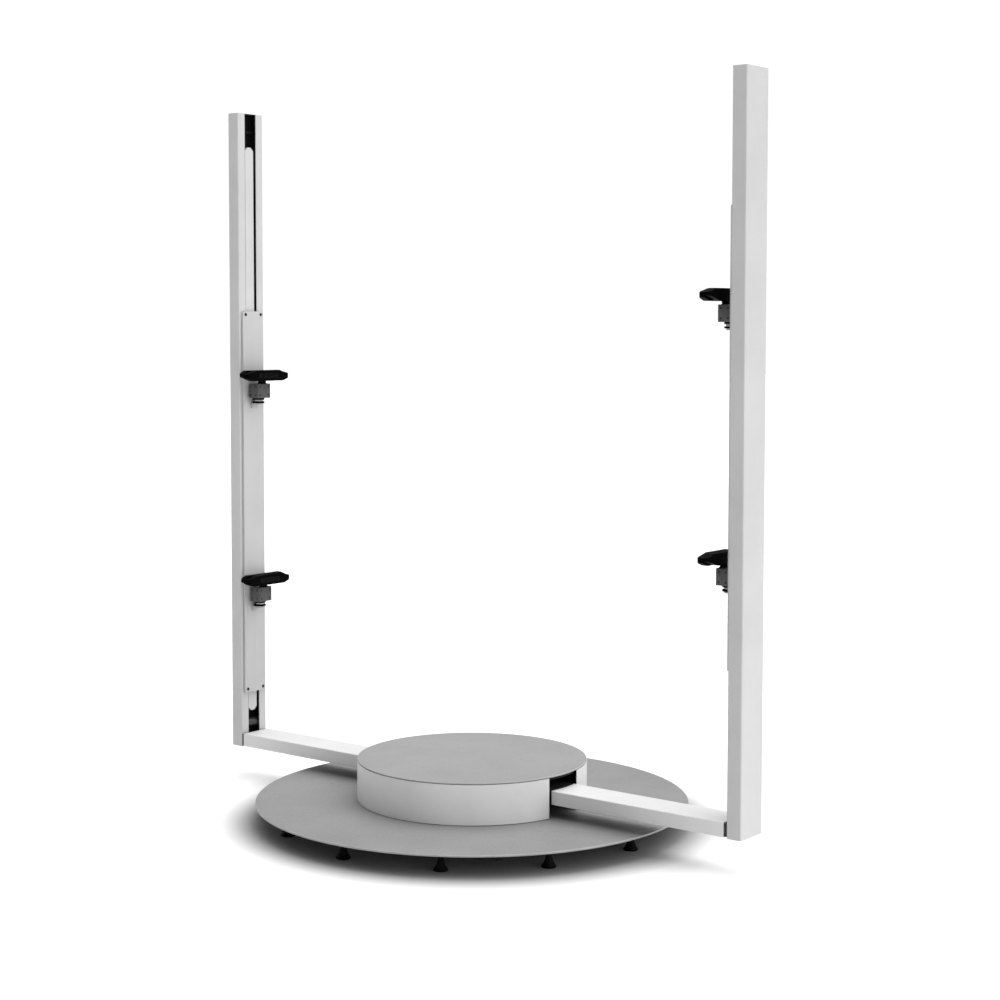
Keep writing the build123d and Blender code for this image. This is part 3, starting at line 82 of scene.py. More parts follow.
class Level(Enum):
    """The two cameras on each carriage."""

    UPPER = "upper"
    LOWER = "lower"


# =================================================================================================
# Material helpers
# =================================================================================================


def linear(hex_colour: str) -> tuple[float, float, float, float]:
    """Turns an sRGB hex colour into the linear colour that shaders use.

    Args:
        hex_colour: six hex digits, such as "c8c8c8".

    Returns:
        Linear red, green and blue, and an alpha of 1.
    """
    parts = np.array([int(hex_colour[k : k + 2], 16) for k in (0, 2, 4)]) / 255.0
    curve = np.where(parts <= 0.04045, parts / 12.92, ((parts + 0.055) / 1.055) ** 2.4)
    return (float(curve[0]), float(curve[1]), float(curve[2]), 1.0)


def add_node(
    tree: bpy.types.NodeTree, kind: str, feeds: dict[Any, Any] | None = None, **settings: Any
) -> bpy.types.Node:
    """Adds one node with its settings, its fixed inputs and its links.

    Args:
        tree: the node tree to add to.
        kind: the node's type name.
        feeds: input name or index to an output socket, which is linked, or a value, which is set.
        **settings: the node's own attributes.

    Returns:
        The new node.
    """
    node = tree.nodes.new(kind)
    for name, value in settings.items():
        setattr(node, name, value)
    for name, value in (feeds or {}).items():
        if isinstance(value, bpy.types.NodeSocket):
            tree.links.new(value, node.inputs[name])
        else:
            node.inputs[name].default_value = value
    return node


def stretch(
    tree: bpy.types.NodeTree, value: Any, low: float, high: float, to_low: float, to_high: float
) -> Any:
    """Maps a value from one range to another and holds it inside the new one.

    Args:
        tree: the node tree to add to.
        value: the output socket to read.
        low: the reading that becomes to_low.
        high: the reading that becomes to_high.
        to_low: the result at low.
        to_high: the result at high.

    Returns:
        The output socket of the result.
    """
    feeds = {0: value, 1: low, 2: high, 3: to_low, 4: to_high}
    return add_node(tree, "ShaderNodeMapRange", feeds, clamp=True).outputs[0]


def calculate(tree: bpy.types.NodeTree, operation: str, first: Any, second: Any = 0.0) -> Any:
    """One sum on two values.

    Args:
        tree: the node tree to add to.
        operation: the Math node's operation.
        first: socket or number.
        second: socket or number.

    Returns:
        The output socket of the result.
    """
    return add_node(tree, "ShaderNodeMath", {0: first, 1: second}, operation=operation).outputs[0]


class Zone(Enum):
    """Where a finish is painted near black as painted shade, deep inside where little light reaches."""

    NOWHERE = 0
    COLUMN_CHANNEL = 1
    DRUM_INSIDE = 2


@dataclass(frozen=True)
class Finish:
    """One real material with the way its surface was made.

    Args:
        name: the finish's workshop name.
        tint: sRGB hex colour of the clean surface.
        worn_tint: sRGB hex colour that the cloudy variation leads to.
        metallic: 1 for bare metal, 0 for paint and plastic.
        roughness: typical roughness of the surface.
        roughness_spread: how far roughness wanders each way.
        cloud_mm: size of the broad colour variation.
        grain_mm: size of the fine surface texture.
        grain_depth_mm: height of the fine texture.
        brushed: how many times longer than wide the texture is along Z.
        coat: weight of a clear glossy layer.
        scratch: strength of fine rubbed lines in the gloss.
        sheen_level: specular level, 0.5 for plain surfaces and less for light-trapping ones.
        zone: where the surface is painted near black as painted shade.
    """

    name: str
    tint: str
    worn_tint: str
    metallic: float = 0.0
    roughness: float = 0.5
    roughness_spread: float = 0.08
    cloud_mm: float = 160.0
    grain_mm: float = 3.0
    grain_depth_mm: float = 0.02
    brushed: float = 1.0
    coat: float = 0.0
    scratch: float = 0.0
    sheen_level: float = 0.5
    zone: Zone = Zone.NOWHERE

    def zone_mask(self, tree: bpy.types.NodeTree, place: Any) -> Any:
        """Gives 1 where shade is painted on and 0 outside it.

        Args:
            tree: the node tree to add to.
            place: the object-coordinate socket.

        Returns:
            The output socket of the mask.
        """
        axes = add_node(tree, "ShaderNodeSeparateXYZ", {0: place})
        if self.zone is Zone.COLUMN_CHANNEL:
            reach = calculate(tree, "ABSOLUTE", axes.outputs[0])
            across = calculate(tree, "ABSOLUTE", axes.outputs[1])
            behind_lips = calculate(tree, "GREATER_THAN", reach, CHANNEL_NEAR)
            before_back = calculate(tree, "LESS_THAN", reach, CHANNEL_FAR)
            between_walls = calculate(tree, "LESS_THAN", across, CHANNEL_HALF_WIDTH)
            deep = calculate(tree, "MULTIPLY", behind_lips, before_back)
            return calculate(tree, "MULTIPLY", deep, between_walls)
        flat = add_node(tree, "ShaderNodeCombineXYZ", {0: axes.outputs[0], 1: axes.outputs[1]})
        radius = add_node(tree, "ShaderNodeVectorMath", {0: flat.outputs[0]}, operation="LENGTH")
        return calculate(tree, "LESS_THAN", radius.outputs["Value"], DRUM_SHELL)

    def build(self) -> bpy.types.Material:
        """Makes the material.

        Returns:
            The finished node material.
        """
        material = bpy.data.materials.new(self.name)
        material.use_nodes = True
        tree = material.node_tree
        tree.nodes.clear()
        place = add_node(tree, "ShaderNodeTexCoord").outputs["Object"]
        along = add_node(tree, "ShaderNodeMapping", {0: place, 3: (1.0, 1.0, 1.0 / self.brushed)}).outputs[0]
        clouds = add_node(
            tree, "ShaderNodeTexNoise", {"Vector": place, "Scale": 1000.0 / self.cloud_mm, "Detail": 3.0}
        ).outputs["Fac"]
        grain = add_node(
            tree, "ShaderNodeTexNoise", {"Vector": along, "Scale": 1000.0 / self.grain_mm, "Detail": 2.0}
        ).outputs["Fac"]
        worn = stretch(tree, clouds, 0.35, 0.70, 0.0, 1.0)
        colour = add_node(
            tree,
            "ShaderNodeMix",
            {0: worn, 6: linear(self.tint), 7: linear(self.worn_tint)},
            data_type="RGBA",
        ).outputs[2]
        # Painted shade: the colour turns near black inside the column channel or the drum.
        if self.zone is not Zone.NOWHERE:
            colour = add_node(
                tree,
                "ShaderNodeMix",
                {0: self.zone_mask(tree, place), 6: colour, 7: linear(PAINTED_SHADE_TINT)},
                data_type="RGBA",
            ).outputs[2]
        low, high = self.roughness - self.roughness_spread, self.roughness + self.roughness_spread
        rough = stretch(tree, grain, 0.3, 0.7, low, high)
        if self.scratch:
            rubbed = add_node(
                tree,
                "ShaderNodeTexNoise",
                {"Vector": place, "Scale": 30.0, "Detail": 6.0, "Roughness": 0.75, "Distortion": 2.0},
            ).outputs["Fac"]
            lines = stretch(tree, rubbed, 0.56, 0.66, 0.0, self.scratch)
            rough = calculate(tree, "ADD", rough, lines)
        relief = add_node(
            tree,
            "ShaderNodeBump",
            {"Height": grain, "Distance": self.grain_depth_mm * MM, "Strength": 0.6},
        ).outputs[0]
        shader = add_node(
            tree,
            "ShaderNodeBsdfPrincipled",
            {
                "Base Color": colour,
                "Metallic": self.metallic,
                "Roughness": rough,
                "Normal": relief,
                "Coat Weight": self.coat,
                "Coat Roughness": 0.08,
                "Specular IOR Level": self.sheen_level,
            },
        )
        add_node(tree, "ShaderNodeOutputMaterial", {"Surface": shader.outputs[0]})
        return material


class Surface(Enum):
    """Every finish on the machine."""

    # Satin white polyester powder coat on steel: even, slightly pebbled, soft broad highlight; painted near
    # black inside the drum as painted shade.
    FRAME_WHITE = Finish(
        "white powder coat", "dadada", "d5d5d5", roughness=0.46, zone=Zone.DRUM_INSIDE
    )
    # The same coat on the slotted profile, tinted greyer than on the beam as painted shade, and near black
    # inside its channel as painted shade.
    COLUMN_WHITE = Finish(
        "white coat, dark channel", "c0c0c0", "bababa", roughness=0.46, zone=Zone.COLUMN_CHANNEL
    )
    # Powder-coated rolled sheet of the drum, near black on its inside as painted shade.
    SKIRT_WHITE = Finish(
        "white coat, dark inside", "dedede", "d8d8d8", roughness=0.5, cloud_mm=90.0, zone=Zone.DRUM_INSIDE
    )
    # White anodised aluminium plate: drawn lines along its length, tinted greyer than the paint as painted
    # shade.
    PLATE_WHITE = Finish(
        "white anodised plate", "bababa", "b3b3b3", roughness=0.42, brushed=20.0, grain_mm=2.0
    )
    # Grey structured powder coat underfoot: matt, a little rubbed where people step.
    STEP_GREY = Finish(
        "grey structured coat",
        "929293",
        "8d8d8e",
        roughness=0.62,
        grain_mm=4.0,
        grain_depth_mm=0.08,
        scratch=0.12,
    )
    # Grey satin coat on the floor disc: smoother than the step, with fine rubbed lines.
    DISC_GREY = Finish(
        "grey satin coat",
        "868687",
        "7f7f80",
        roughness=0.55,
        grain_mm=4.0,
        grain_depth_mm=0.05,
        scratch=0.16,
    )
    # Rim paler than the flats, as a painted highlight along the turned edge.
    RIM_PAINTED_HIGHLIGHT = Finish("thin coat on a turned rim", "a8a8a9", "9c9c9d", roughness=0.5, cloud_mm=60.0)
    # Black powder coat on the hidden frames, tinted extra dark so the drum's inside shows painted shade:
    # matt and even.
    STEEL_BLACK = Finish("black powder coat", "0a0a0b", "121213", grain_mm=2.5, sheen_level=0.12)
    # Extruded and clear-anodised aluminium: pale, with fine lines along its length.
    RAIL_ALUMINIUM = Finish(
        "clear anodised aluminium", "c6c6c7", "bebebf", roughness=0.4, brushed=60.0, grain_mm=0.8
    )
    # Turned aluminium: bright, with close lathe lines.
    TURNED_ALUMINIUM = Finish(
        "turned aluminium", "bdbdc0", "adadb0", metallic=1.0, roughness=0.35, grain_mm=0.8
    )
    # Black anodised aluminium pulleys: dull, so nothing gleams inside the column.
    PULLEY_BLACK = Finish("black anodised pulley", "0a0a0a", "101010", grain_mm=0.8, sheen_level=0.15)
    # Ground and oiled bearing steel: darker and smoother than the aluminium.
    GROUND_STEEL = Finish(
        "ground bearing steel", "b0b0b2", "9c9c9f", metallic=1.0, roughness=0.28, grain_mm=0.6
    )
    # Oil-blackened screws: near black with a dull metal gleam.
    BLACK_OXIDE = Finish(
        "black-oxide screw steel", "242425", "303031", metallic=0.8, roughness=0.38, grain_mm=0.8
    )
    # Turned brass tracks: yellow, dulled where brushes run.
    SLIP_BRASS = Finish("turned brass", "c9a55a", "b08f4a", metallic=1.0, roughness=0.3, grain_mm=0.8)
    # Moulded rubber of the pads: dull black with a dusty bloom.
    FOOT_RUBBER = Finish(
        "black rubber", "060606", "0d0d0d", roughness=0.8, grain_mm=1.5, grain_depth_mm=0.05, sheen_level=0.1
    )
    # Moulded nylon bells: black, faint satin.
    FOOT_NYLON = Finish(
        "black moulded nylon", "060606", "0c0c0c", roughness=0.6, grain_mm=1.0, sheen_level=0.1
    )
    # Neoprene belt: dull black.
    BELT_RUBBER = Finish("black belt rubber", "101010", "181818", roughness=0.7, grain_mm=1.5)
    # Moulded ABS camera bars: deep black, fine spark-eroded texture that scatters the gloss.
    HOUSING_BLACK = Finish(
        "black moulded ABS",
        "020202",
        "040404",
        roughness=0.5,
        grain_mm=0.9,
        grain_depth_mm=0.03,
        sheen_level=0.02,
    )
    # Moulded covers and plugs: black, matt.
    COVER_BLACK = Finish(
        "black moulded cover", "0a0a0a", "101010", roughness=0.58, grain_mm=1.2, sheen_level=0.12
    )
    # Moulded plugs at the column feet: charcoal, matt.
    PLUG_GREY = Finish("charcoal moulded plug", "2c2c2d", "242425", grain_mm=1.2, sheen_level=0.3)
    # Stove-enamelled motor cans: black with a thin gloss.
    MOTOR_BLACK = Finish("black stove enamel", "171718", "202021", roughness=0.35, coat=0.3)
    # Machined aluminium with a dark grey anodised skin: soft sheen on the flats.
    BLOCK_GREY = Finish(
        "dark grey anodised block",
        "484849",
        "3c3c3d",
        roughness=0.45,
        cloud_mm=24.0,
        grain_mm=1.0,
        sheen_level=0.4,
    )
    # Black anodised discs and necks: deep, with little gleam.
    DISC_BLACK = Finish(
        "black anodised disc", "020202", "040404", roughness=0.5, grain_mm=0.8, sheen_level=0.02
    )
    # White moulded spacer and the white-coated brackets.
    SPACER_WHITE = Finish(
        "white moulded spacer", "b2b2b2", "a8a8a8", roughness=0.5, cloud_mm=30.0, grain_mm=1.0
    )
    # Smoked acrylic over the lenses: black glass with a clear, weak reflection.
    LENS_GLASS = Finish(
        "smoked acrylic window",
        "010101",
        "020202",
        roughness=0.1,
        roughness_spread=0.02,
        grain_depth_mm=0.0,
        sheen_level=0.05,
    )
    # Satin black rings round the lenses.
    LENS_RING = Finish(
        "satin black lens ring", "060606", "0a0a0a", roughness=0.4, grain_mm=0.6, sheen_level=0.1
    )


@dataclass
class PaintShop:
    """Builds each finish once and puts it on pieces."""

    made: dict[Surface, bpy.types.Material] = field(default_factory=dict)

    def material(self, surface: Surface) -> bpy.types.Material:
        """The material of a surface, built when first asked for."""
        if surface not in self.made:
            self.made[surface] = surface.value.build()
        return self.made[surface]

    def dress(self, piece: bpy.types.Object, *surfaces: Surface) -> None:
        """Gives a piece its materials, in slot order.

        An empty list of materials is left alone, because clearing it would also clear the slots
        already given to the faces.

        Args:
            piece: the mesh object.
            *surfaces: one surface for each material slot.
        """
        if piece.data.materials:
            piece.data.materials.clear()
        for surface in surfaces:
            piece.data.materials.append(self.material(surface))

    def dress_nodes(self, surface: Surface, *names: str) -> None:
        """Puts one finish on carried-over CAD nodes.

        Args:
            surface: the finish.
            *names: CAD node names.
        """
        for name in names:
            self.dress(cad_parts[name], surface)
            LOG.info("finish %s on %s", surface.name, name)


# =================================================================================================
# Surfaces as arrays
# =================================================================================================


@dataclass(frozen=True)
class Shell:
    """A closed tube of rings with a flat cap at each end.

    Args:
        rings: points as an array of (rings, points round, 3).
        slot: the material slot of its faces.
    """

    rings: np.ndarray
    slot: int = 0

    def faces(self, first: int) -> list[list[int]]:
        """Quads between neighbouring rings, and one many-sided cap at each end.

        Args:
            first: index of the shell's first vertex in the mesh.

        Returns:
            The vertex indices of each face.
        """
        stations, around = self.rings.shape[:2]
        index = first + np.arange(stations * around).reshape(stations, around)
        here, up = index[:-1], index[1:]
        quads = np.stack([here, np.roll(here, -1, 1), np.roll(up, -1, 1), up], axis=-1).reshape(-1, 4)
        return quads.tolist() + [index[0, ::-1].tolist(), index[-1].tolist()]


def make_piece(name: str, shells: list[Shell], body: str, crease: float = 35.0) -> bpy.types.Object:
    """Puts shells into one mesh object that rides on a body.

    Args:
        name: the piece's name.
        shells: its closed shells, each wound so that its faces point outwards.
        body: the CAD body that carries it.
        crease: edges sharper than this, in degrees, stay sharp.

    Returns:
        The new object.
    """
    points: list[np.ndarray] = []
    faces: list[list[int]] = []
    slots: list[int] = []
    first = 0
    for shell in shells:
        new_faces = shell.faces(first)
        faces += new_faces
        slots += [shell.slot] * len(new_faces)
        points.append(shell.rings.reshape(-1, 3))
        first += points[-1].shape[0]
    mesh = bpy.data.meshes.new(name)
    mesh.from_pydata(np.concatenate(points).tolist(), [], faces)
    mesh.polygons.foreach_set("material_index", np.array(slots, dtype=np.int32))
    mesh.polygons.foreach_set("use_smooth", np.ones(len(faces), dtype=bool))
    mesh.set_sharp_from_angle(angle=math.radians(crease))
    mesh.update()
    piece = bpy.data.objects.new(name, mesh)
    bpy.context.scene.collection.objects.link(piece)
    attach(piece, body)
    LOG.info("piece %s: %d faces", name, len(faces))
    return piece


def circle_outline(radius: float, points: int) -> np.ndarray:
    """Points at equal angles on a circle: (r cos t, r sin t)."""
    turn = np.linspace(0.0, 2.0 * np.pi, points, endpoint=False)
    return radius * np.stack([np.cos(turn), np.sin(turn)], axis=-1)


def hexagon_outline(half_flat: float, points: int) -> np.ndarray:
    """Points at equal angles on a hexagon: radius is the half flat over the cosine to the flat."""
    turn = np.linspace(0.0, 2.0 * np.pi, points, endpoint=False)
    from_flat = np.mod(turn, np.pi / 3.0) - np.pi / 6.0
    radius = half_flat / np.cos(from_flat)
    return radius[:, None] * np.stack([np.cos(turn), np.sin(turn)], axis=-1)


def rounded_outline(corners: np.ndarray, radius: float, inset: float = 0.0, steps: int = 5) -> np.ndarray:
    """A convex outline moved inwards, with an arc at each corner.

    Each corner's arc centre lies where the two edges, moved in by the radius, cross: the corner plus
    the sum of both inward normals times radius / (1 + their dot product). The arc turns from one
    edge's outward normal to the next, with its radius cut by the inset.

    Args:
        corners: outline corners (n, 2), anticlockwise.
        radius: arc radius before the inset.
        inset: how far the outline moves inwards, less than the radius.
        steps: points on each arc.

    Returns:
        Points (n * steps, 2), anticlockwise.
    """
    edge = np.roll(corners, -1, 0) - corners
    edge = edge / np.linalg.norm(edge, axis=1, keepdims=True)
    outward = np.stack([edge[:, 1], -edge[:, 0]], axis=-1)
    before = np.roll(outward, 1, 0)
    share = radius / (1.0 + np.sum(before * outward, axis=1, keepdims=True))
    centre = corners - (before + outward) * share
    blend = np.linspace(0.0, 1.0, steps)[None, :, None]
    start = np.arctan2(before[:, 1], before[:, 0])
    swing = np.mod(np.arctan2(outward[:, 1], outward[:, 0]) - start, 2.0 * np.pi)
    angle = start[:, None] + swing[:, None] * blend[..., 0]
    arc = (radius - inset) * np.stack([np.cos(angle), np.sin(angle)], axis=-1)
    return (centre[:, None, :] + arc).reshape(-1, 2)


def box_corners(half_x: float, half_y: float) -> np.ndarray:
    """The four corners of a rectangle about the origin, anticlockwise."""
    return np.array([[-half_x, -half_y], [half_x, -half_y], [half_x, half_y], [-half_x, half_y]])


@dataclass(frozen=True)
class Placement:
    """Where a shell's own axes lie in the row frame.

    Args:
        centre: the shell's origin.
        right: direction of the outline's first axis.
        up: direction of the outline's second axis.
    """

    centre: tuple[float, float, float]
    right: tuple[float, float, float] = (1.0, 0.0, 0.0)
    up: tuple[float, float, float] = (0.0, 1.0, 0.0)

    def stack(self, outlines: list[np.ndarray], heights: list[float], slot: int = 0) -> Shell:
        """Stacks outlines along the placement's axis, which is right crossed with up.

        A point is the centre, plus its outline point along right and up, plus its height along the
        axis. Heights rise from the first outline to the last, or turn back for a recess.

        Args:
            outlines: one (n, 2) outline for each station, all with the same number of points.
            heights: one height for each station.
            slot: material slot of the shell.

        Returns:
            The shell.
        """
        right, up = np.array(self.right), np.array(self.up)
        axis = np.cross(right, up)
        flat = np.stack(outlines)
        rise = np.array(heights)[:, None, None] * axis
        return Shell(np.array(self.centre) + flat[..., :1] * right + flat[..., 1:] * up + rise, slot)


def metres(profile: Sequence[tuple[float, float]]) -> list[tuple[float, float]]:
    """A profile of radii and heights in millimetres, turned to metres."""
    return [(radius * MM, height * MM) for radius, height in profile]


def facing_step(side: Side, reach: float, across: float, height: float) -> Placement:
    """A placement whose axis points from one column towards the step.

    Args:
        side: which column.
        reach: how far from the turning axis it lies.
        across: its Y.
        height: its Z.

    Returns:
        The placement.
    """
    return Placement((side.value * reach, across, height), (0.0, -float(side.value), 0.0), (0.0, 0.0, 1.0))


def turned(place: Placement, profile: list[tuple[float, float]], points: int, slot: int = 0) -> Shell:
    """A turned shape: each (radius, height) of the profile becomes a circle about the axis.

    Args:
        place: where the axis stands.
        profile: radius and height of each ring, from the lower cap to the upper.
        points: points on each ring.
        slot: material slot.

    Returns:
        The shell.
    """
    outlines = [circle_outline(radius, points) for radius, _ in profile]
    return place.stack(outlines, [height for _, height in profile], slot)


def socket_screw(place: Placement, head_radius: float, head_height: float, slot: int = 0) -> Shell:
    """A button-head screw with a hexagon socket.

    The head rises on a quarter ellipse from the seat, and the socket is a hexagon sunk from its top.

    Args:
        place: the seat's centre, with the axis pointing out of the seat.
        head_radius: radius at the seat.
        head_height: height of the head.
        slot: material slot.

    Returns:
        The shell.
    """
    points = 24
    turn = np.linspace(0.0, math.radians(62.0), 5)
    outlines = [circle_outline(head_radius * math.cos(t), points) for t in turn]
    heights = [head_height * math.sin(t) / math.sin(turn[-1]) for t in turn]
    socket = 0.36 * head_radius
    recess = [hexagon_outline(socket, points), hexagon_outline(0.9 * socket, points)]
    outlines = [outlines[0]] + outlines + recess
    heights = [-0.3 * head_height] + heights + [head_height, 0.35 * head_height]
    return place.stack(outlines, heights, slot)


# =================================================================================================
# The machine's visible parts
# =================================================================================================


@dataclass
class LevellingFeet:
    """The ring of feet under the disc: rubber pad, moulded bell, hexagon nut and stud.

    Args:
        shop: the paint shop.
        count: number of feet.
        circle: radius of the ring of feet.
        nut_half_flat: half the nut's width across its flats.
    """

    shop: PaintShop
    count: int = 12
    circle: float = 500.0 * MM
    nut_half_flat: float = 6.5 * MM

    def foot(self, x: float, y: float) -> list[Shell]:
        """One foot.

        The bell's radius falls from the pad's edge to the neck on a slightly hollow curve.

        Args:
            x: X of its axis.
            y: Y of its axis.

        Returns:
            Its shells.
        """
        place = Placement((x, y, 0.0))
        pad = [(16.6, 0.0), (17.7, 0.5), (18.0, 1.4), (18.0, 3.4), (17.4, 4.4)]
        fall = np.linspace(0.0, 1.0, 9)
        radius = 7.0 + 9.6 * (1.0 - fall) ** 1.6
        bell = [(16.6, 3.9)] + list(zip(radius.tolist(), (4.4 + 25.0 * fall).tolist()))
        stud = [(4.6, 28.0), (4.6, 49.9)]
        nut_heights = [31.0, 32.0, 38.0, 39.0]
        eased = self.nut_half_flat - 0.5 * MM
        halves = (eased, self.nut_half_flat, self.nut_half_flat, eased)
        nut_outlines = [hexagon_outline(half, 24) for half in halves]
        return [
            turned(place, metres(pad), 40, 0),
            turned(place, metres(bell), 40, 1),
            turned(place, metres(stud), 20, 2),
            place.stack(nut_outlines, [h * MM for h in nut_heights], 2),
        ]

    def build(self) -> None:
        """Makes all the feet as one piece."""
        angles = 2.0 * np.pi * np.arange(self.count) / self.count
        spots = self.circle * np.stack([np.cos(angles), np.sin(angles)], axis=-1)
        shells = [shell for x, y in spots.tolist() for shell in self.foot(x, y)]
        feet = make_piece("levelling_feet_turned", shells, "base")
        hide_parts("levelling_feet")
        self.shop.dress(feet, Surface.FOOT_RUBBER, Surface.FOOT_NYLON, Surface.BLACK_OXIDE)


@dataclass
class Decks:
    """The round floor disc and the step plate, turned smooth with a rounded rim.

    Args:
        shop: the paint shop.
        rim: radius of the rolled rim.
        points: points round each plate.
    """

    shop: PaintShop
    rim: float = 1.2 * MM
    points: int = 288

    def plate(self, node: str, name: str, surface: Surface) -> None:
        """Turns a round plate to the size of its CAD node.

        The rim is a quarter circle at the top and a smaller break at the bottom.

        Args:
            node: the CAD node it stands for.
            name: the piece's name.
            surface: its finish.
        """
        low, high = (np.array(corner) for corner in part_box(node))
        radius, thickness = (high[0] - low[0]) / 2.0, high[2] - low[2]
        turn = np.linspace(0.0, np.pi / 2.0, 6)
        lower = [(radius - self.rim / 2.0, 0.0), (radius, self.rim / 2.0)]
        upper = list(
            zip(
                (radius - self.rim * (1.0 - np.cos(turn))).tolist(),
                (thickness - self.rim * (1.0 - np.sin(turn))).tolist(),
            )
        )
        inner = [(radius * share, thickness) for share in (0.97, 0.6, 0.25, 0.05)]
        shell = turned(Placement((0.0, 0.0, float(low[2]))), lower + upper + inner, self.points)
        piece = make_piece(name, [shell], "base", crease=50.0)
        # The rim's faces get the paler finish: a painted highlight.
        rim_faces = self.points * (len(lower) + len(upper) - 1)
        slots = np.zeros(len(piece.data.polygons), dtype=np.int32)
        slots[:rim_faces] = 1
        piece.data.polygons.foreach_set("material_index", slots)
        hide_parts(node)
        self.shop.dress(piece, surface, Surface.RIM_PAINTED_HIGHLIGHT)

    def build(self) -> None:
        """Makes both plates."""
        self.plate("base_disc", "floor_disc", Surface.DISC_GREY)
        self.plate("platform_top", "step_plate", Surface.STEP_GREY)


@dataclass
class CameraPart:
    """What a camera's mount and its bar have in common.

    Args:
        shop: the paint shop.
        side: which column the camera belongs to.
        level: which of the column's two cameras it is.
    """

    shop: PaintShop
    side: Side
    level: Level

    @property
    def stem(self) -> str:
        """The start of this camera's node names."""
        return f"{self.side.word}_{self.level.value}"


@dataclass
class CameraMount(CameraPart):
    """The block under one camera bar: turning disc, spacer, drilled block, neck and knuckle.

    Args:
        block_half: half the block's size along X and along Y.
        block_height: height of the block.
        edge: radius of the block's rounded edges.
        pan_reach: X of the turning disc's axis.
        block_reach: X of the block's middle.
        tilt_reach: X of the knuckle's axis.
        neck_height: from the block's top to the knuckle's axis.
        screw_spread: distance of each face's screws from its middle.
    """

    block_half: tuple[float, float] = (18.0 * MM, 25.5 * MM)
    block_height: float = 41.0 * MM
    edge: float = 2.2 * MM
    pan_reach: float = 774.0 * MM
    block_reach: float = 770.0 * MM
    tilt_reach: float = 760.0 * MM
    neck_height: float = 8.0 * MM
    screw_spread: float = 12.0 * MM

    @property
    def top(self) -> float:
        """Height of the block's top: the node's top less the knuckle's radius and the neck."""
        return float(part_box(f"{self.stem}_pan_mount")[1][2]) - 16.0 * MM

    def block(self) -> Shell:
        """The block: a rounded rectangle whose outline draws in on a quarter circle at both ends."""
        turn = np.linspace(0.0, np.pi / 2.0, 4)
        insets = (self.edge * 0.9 * (1.0 - np.sin(turn))).tolist()
        rises = (self.edge * 0.9 * (1.0 - np.cos(turn))).tolist()
        corners = box_corners(*self.block_half)
        levels = insets + insets[::-1]
        heights = rises + [self.block_height - rise for rise in rises[::-1]]
        outlines = [rounded_outline(corners, self.edge, inset) for inset in levels]
        place = Placement((self.side.value * self.block_reach, 0.0, self.top - self.block_height))
        return place.stack(outlines, heights, 0)

    def discs(self) -> list[Shell]:
        """The turning disc with broken edges, and the pale spacer under it."""
        base = self.top - self.block_height
        place = Placement((self.side.value * self.pan_reach, 0.0, base))
        disc = [(15.8, -5.0), (16.5, -4.4), (16.5, -0.7), (15.9, -0.1), (15.9, 0.5)]
        spacer = [(12.2, -9.5), (12.5, -9.2), (12.5, -4.9)]
        return [
            turned(place, metres(disc), 48, 1),
            turned(place, metres(spacer), 40, 2),
        ]

    def neck(self) -> list[Shell]:
        """The neck, which narrows on a hollow curve from its foot to the knuckle, and the knuckle."""
        rise = np.linspace(0.0, 1.0, 7)
        half_x = 6.0 + 3.5 * (1.0 - rise) ** 1.8
        half_y = 9.0 + 1.5 * (1.0 - rise) ** 1.8
        outlines = [
            rounded_outline(box_corners(x * MM, y * MM), 2.0 * MM)
            for x, y in zip(half_x.tolist(), half_y.tolist())
        ]
        heights = (-0.3 * MM + (self.neck_height * 0.7 + 0.3 * MM) * rise).tolist()
        reach = self.side.value * self.tilt_reach
        neck = Placement((reach, 0.0, self.top)).stack(outlines, heights, 1)
        lying = Placement((reach, 0.0, self.top + self.neck_height), (0.0, 0.0, 1.0), (1.0, 0.0, 0.0))
        knuckle = [(7.2, -9.0), (8.0, -8.3), (8.0, 8.3), (7.2, 9.0)]
        return [neck, turned(lying, metres(knuckle), 40, 1)]

    def screws(self) -> list[Shell]:
        """Four countersunk screws in the block's front, back and both side faces."""
        centre = self.top - self.block_height / 2.0
        base_x = self.side.value * self.block_reach
        shells: list[Shell] = []
        for across in (-self.screw_spread, self.screw_spread):
            for height in (-self.screw_spread, self.screw_spread):
                for way in (-1.0, 1.0):
                    side_face = Placement(
                        (base_x + across * 0.8, way * self.block_half[1], centre + height),
                        (0.0, 0.0, 1.0),
                        (way, 0.0, 0.0),
                    )
                    shells.append(socket_screw(side_face, 2.6 * MM, 0.5 * MM, 3))
                    flat_face = Placement(
                        (base_x + way * self.block_half[0], across * 1.3, centre + height),
                        (0.0, way, 0.0),
                        (0.0, 0.0, 1.0),
                    )
                    shells.append(socket_screw(flat_face, 2.6 * MM, 0.5 * MM, 3))
        return shells

    def build(self) -> None:
        """Makes the mount as one piece on its pan body."""
        shells = [self.block(), *self.discs(), *self.neck(), *self.screws()]
        piece = make_piece(f"{self.stem}_mount_block", shells, f"{self.stem}_pan")
        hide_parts(f"{self.stem}_pan_mount")
        self.shop.dress(
            piece, Surface.BLOCK_GREY, Surface.DISC_BLACK, Surface.SPACER_WHITE, Surface.BLACK_OXIDE
        )


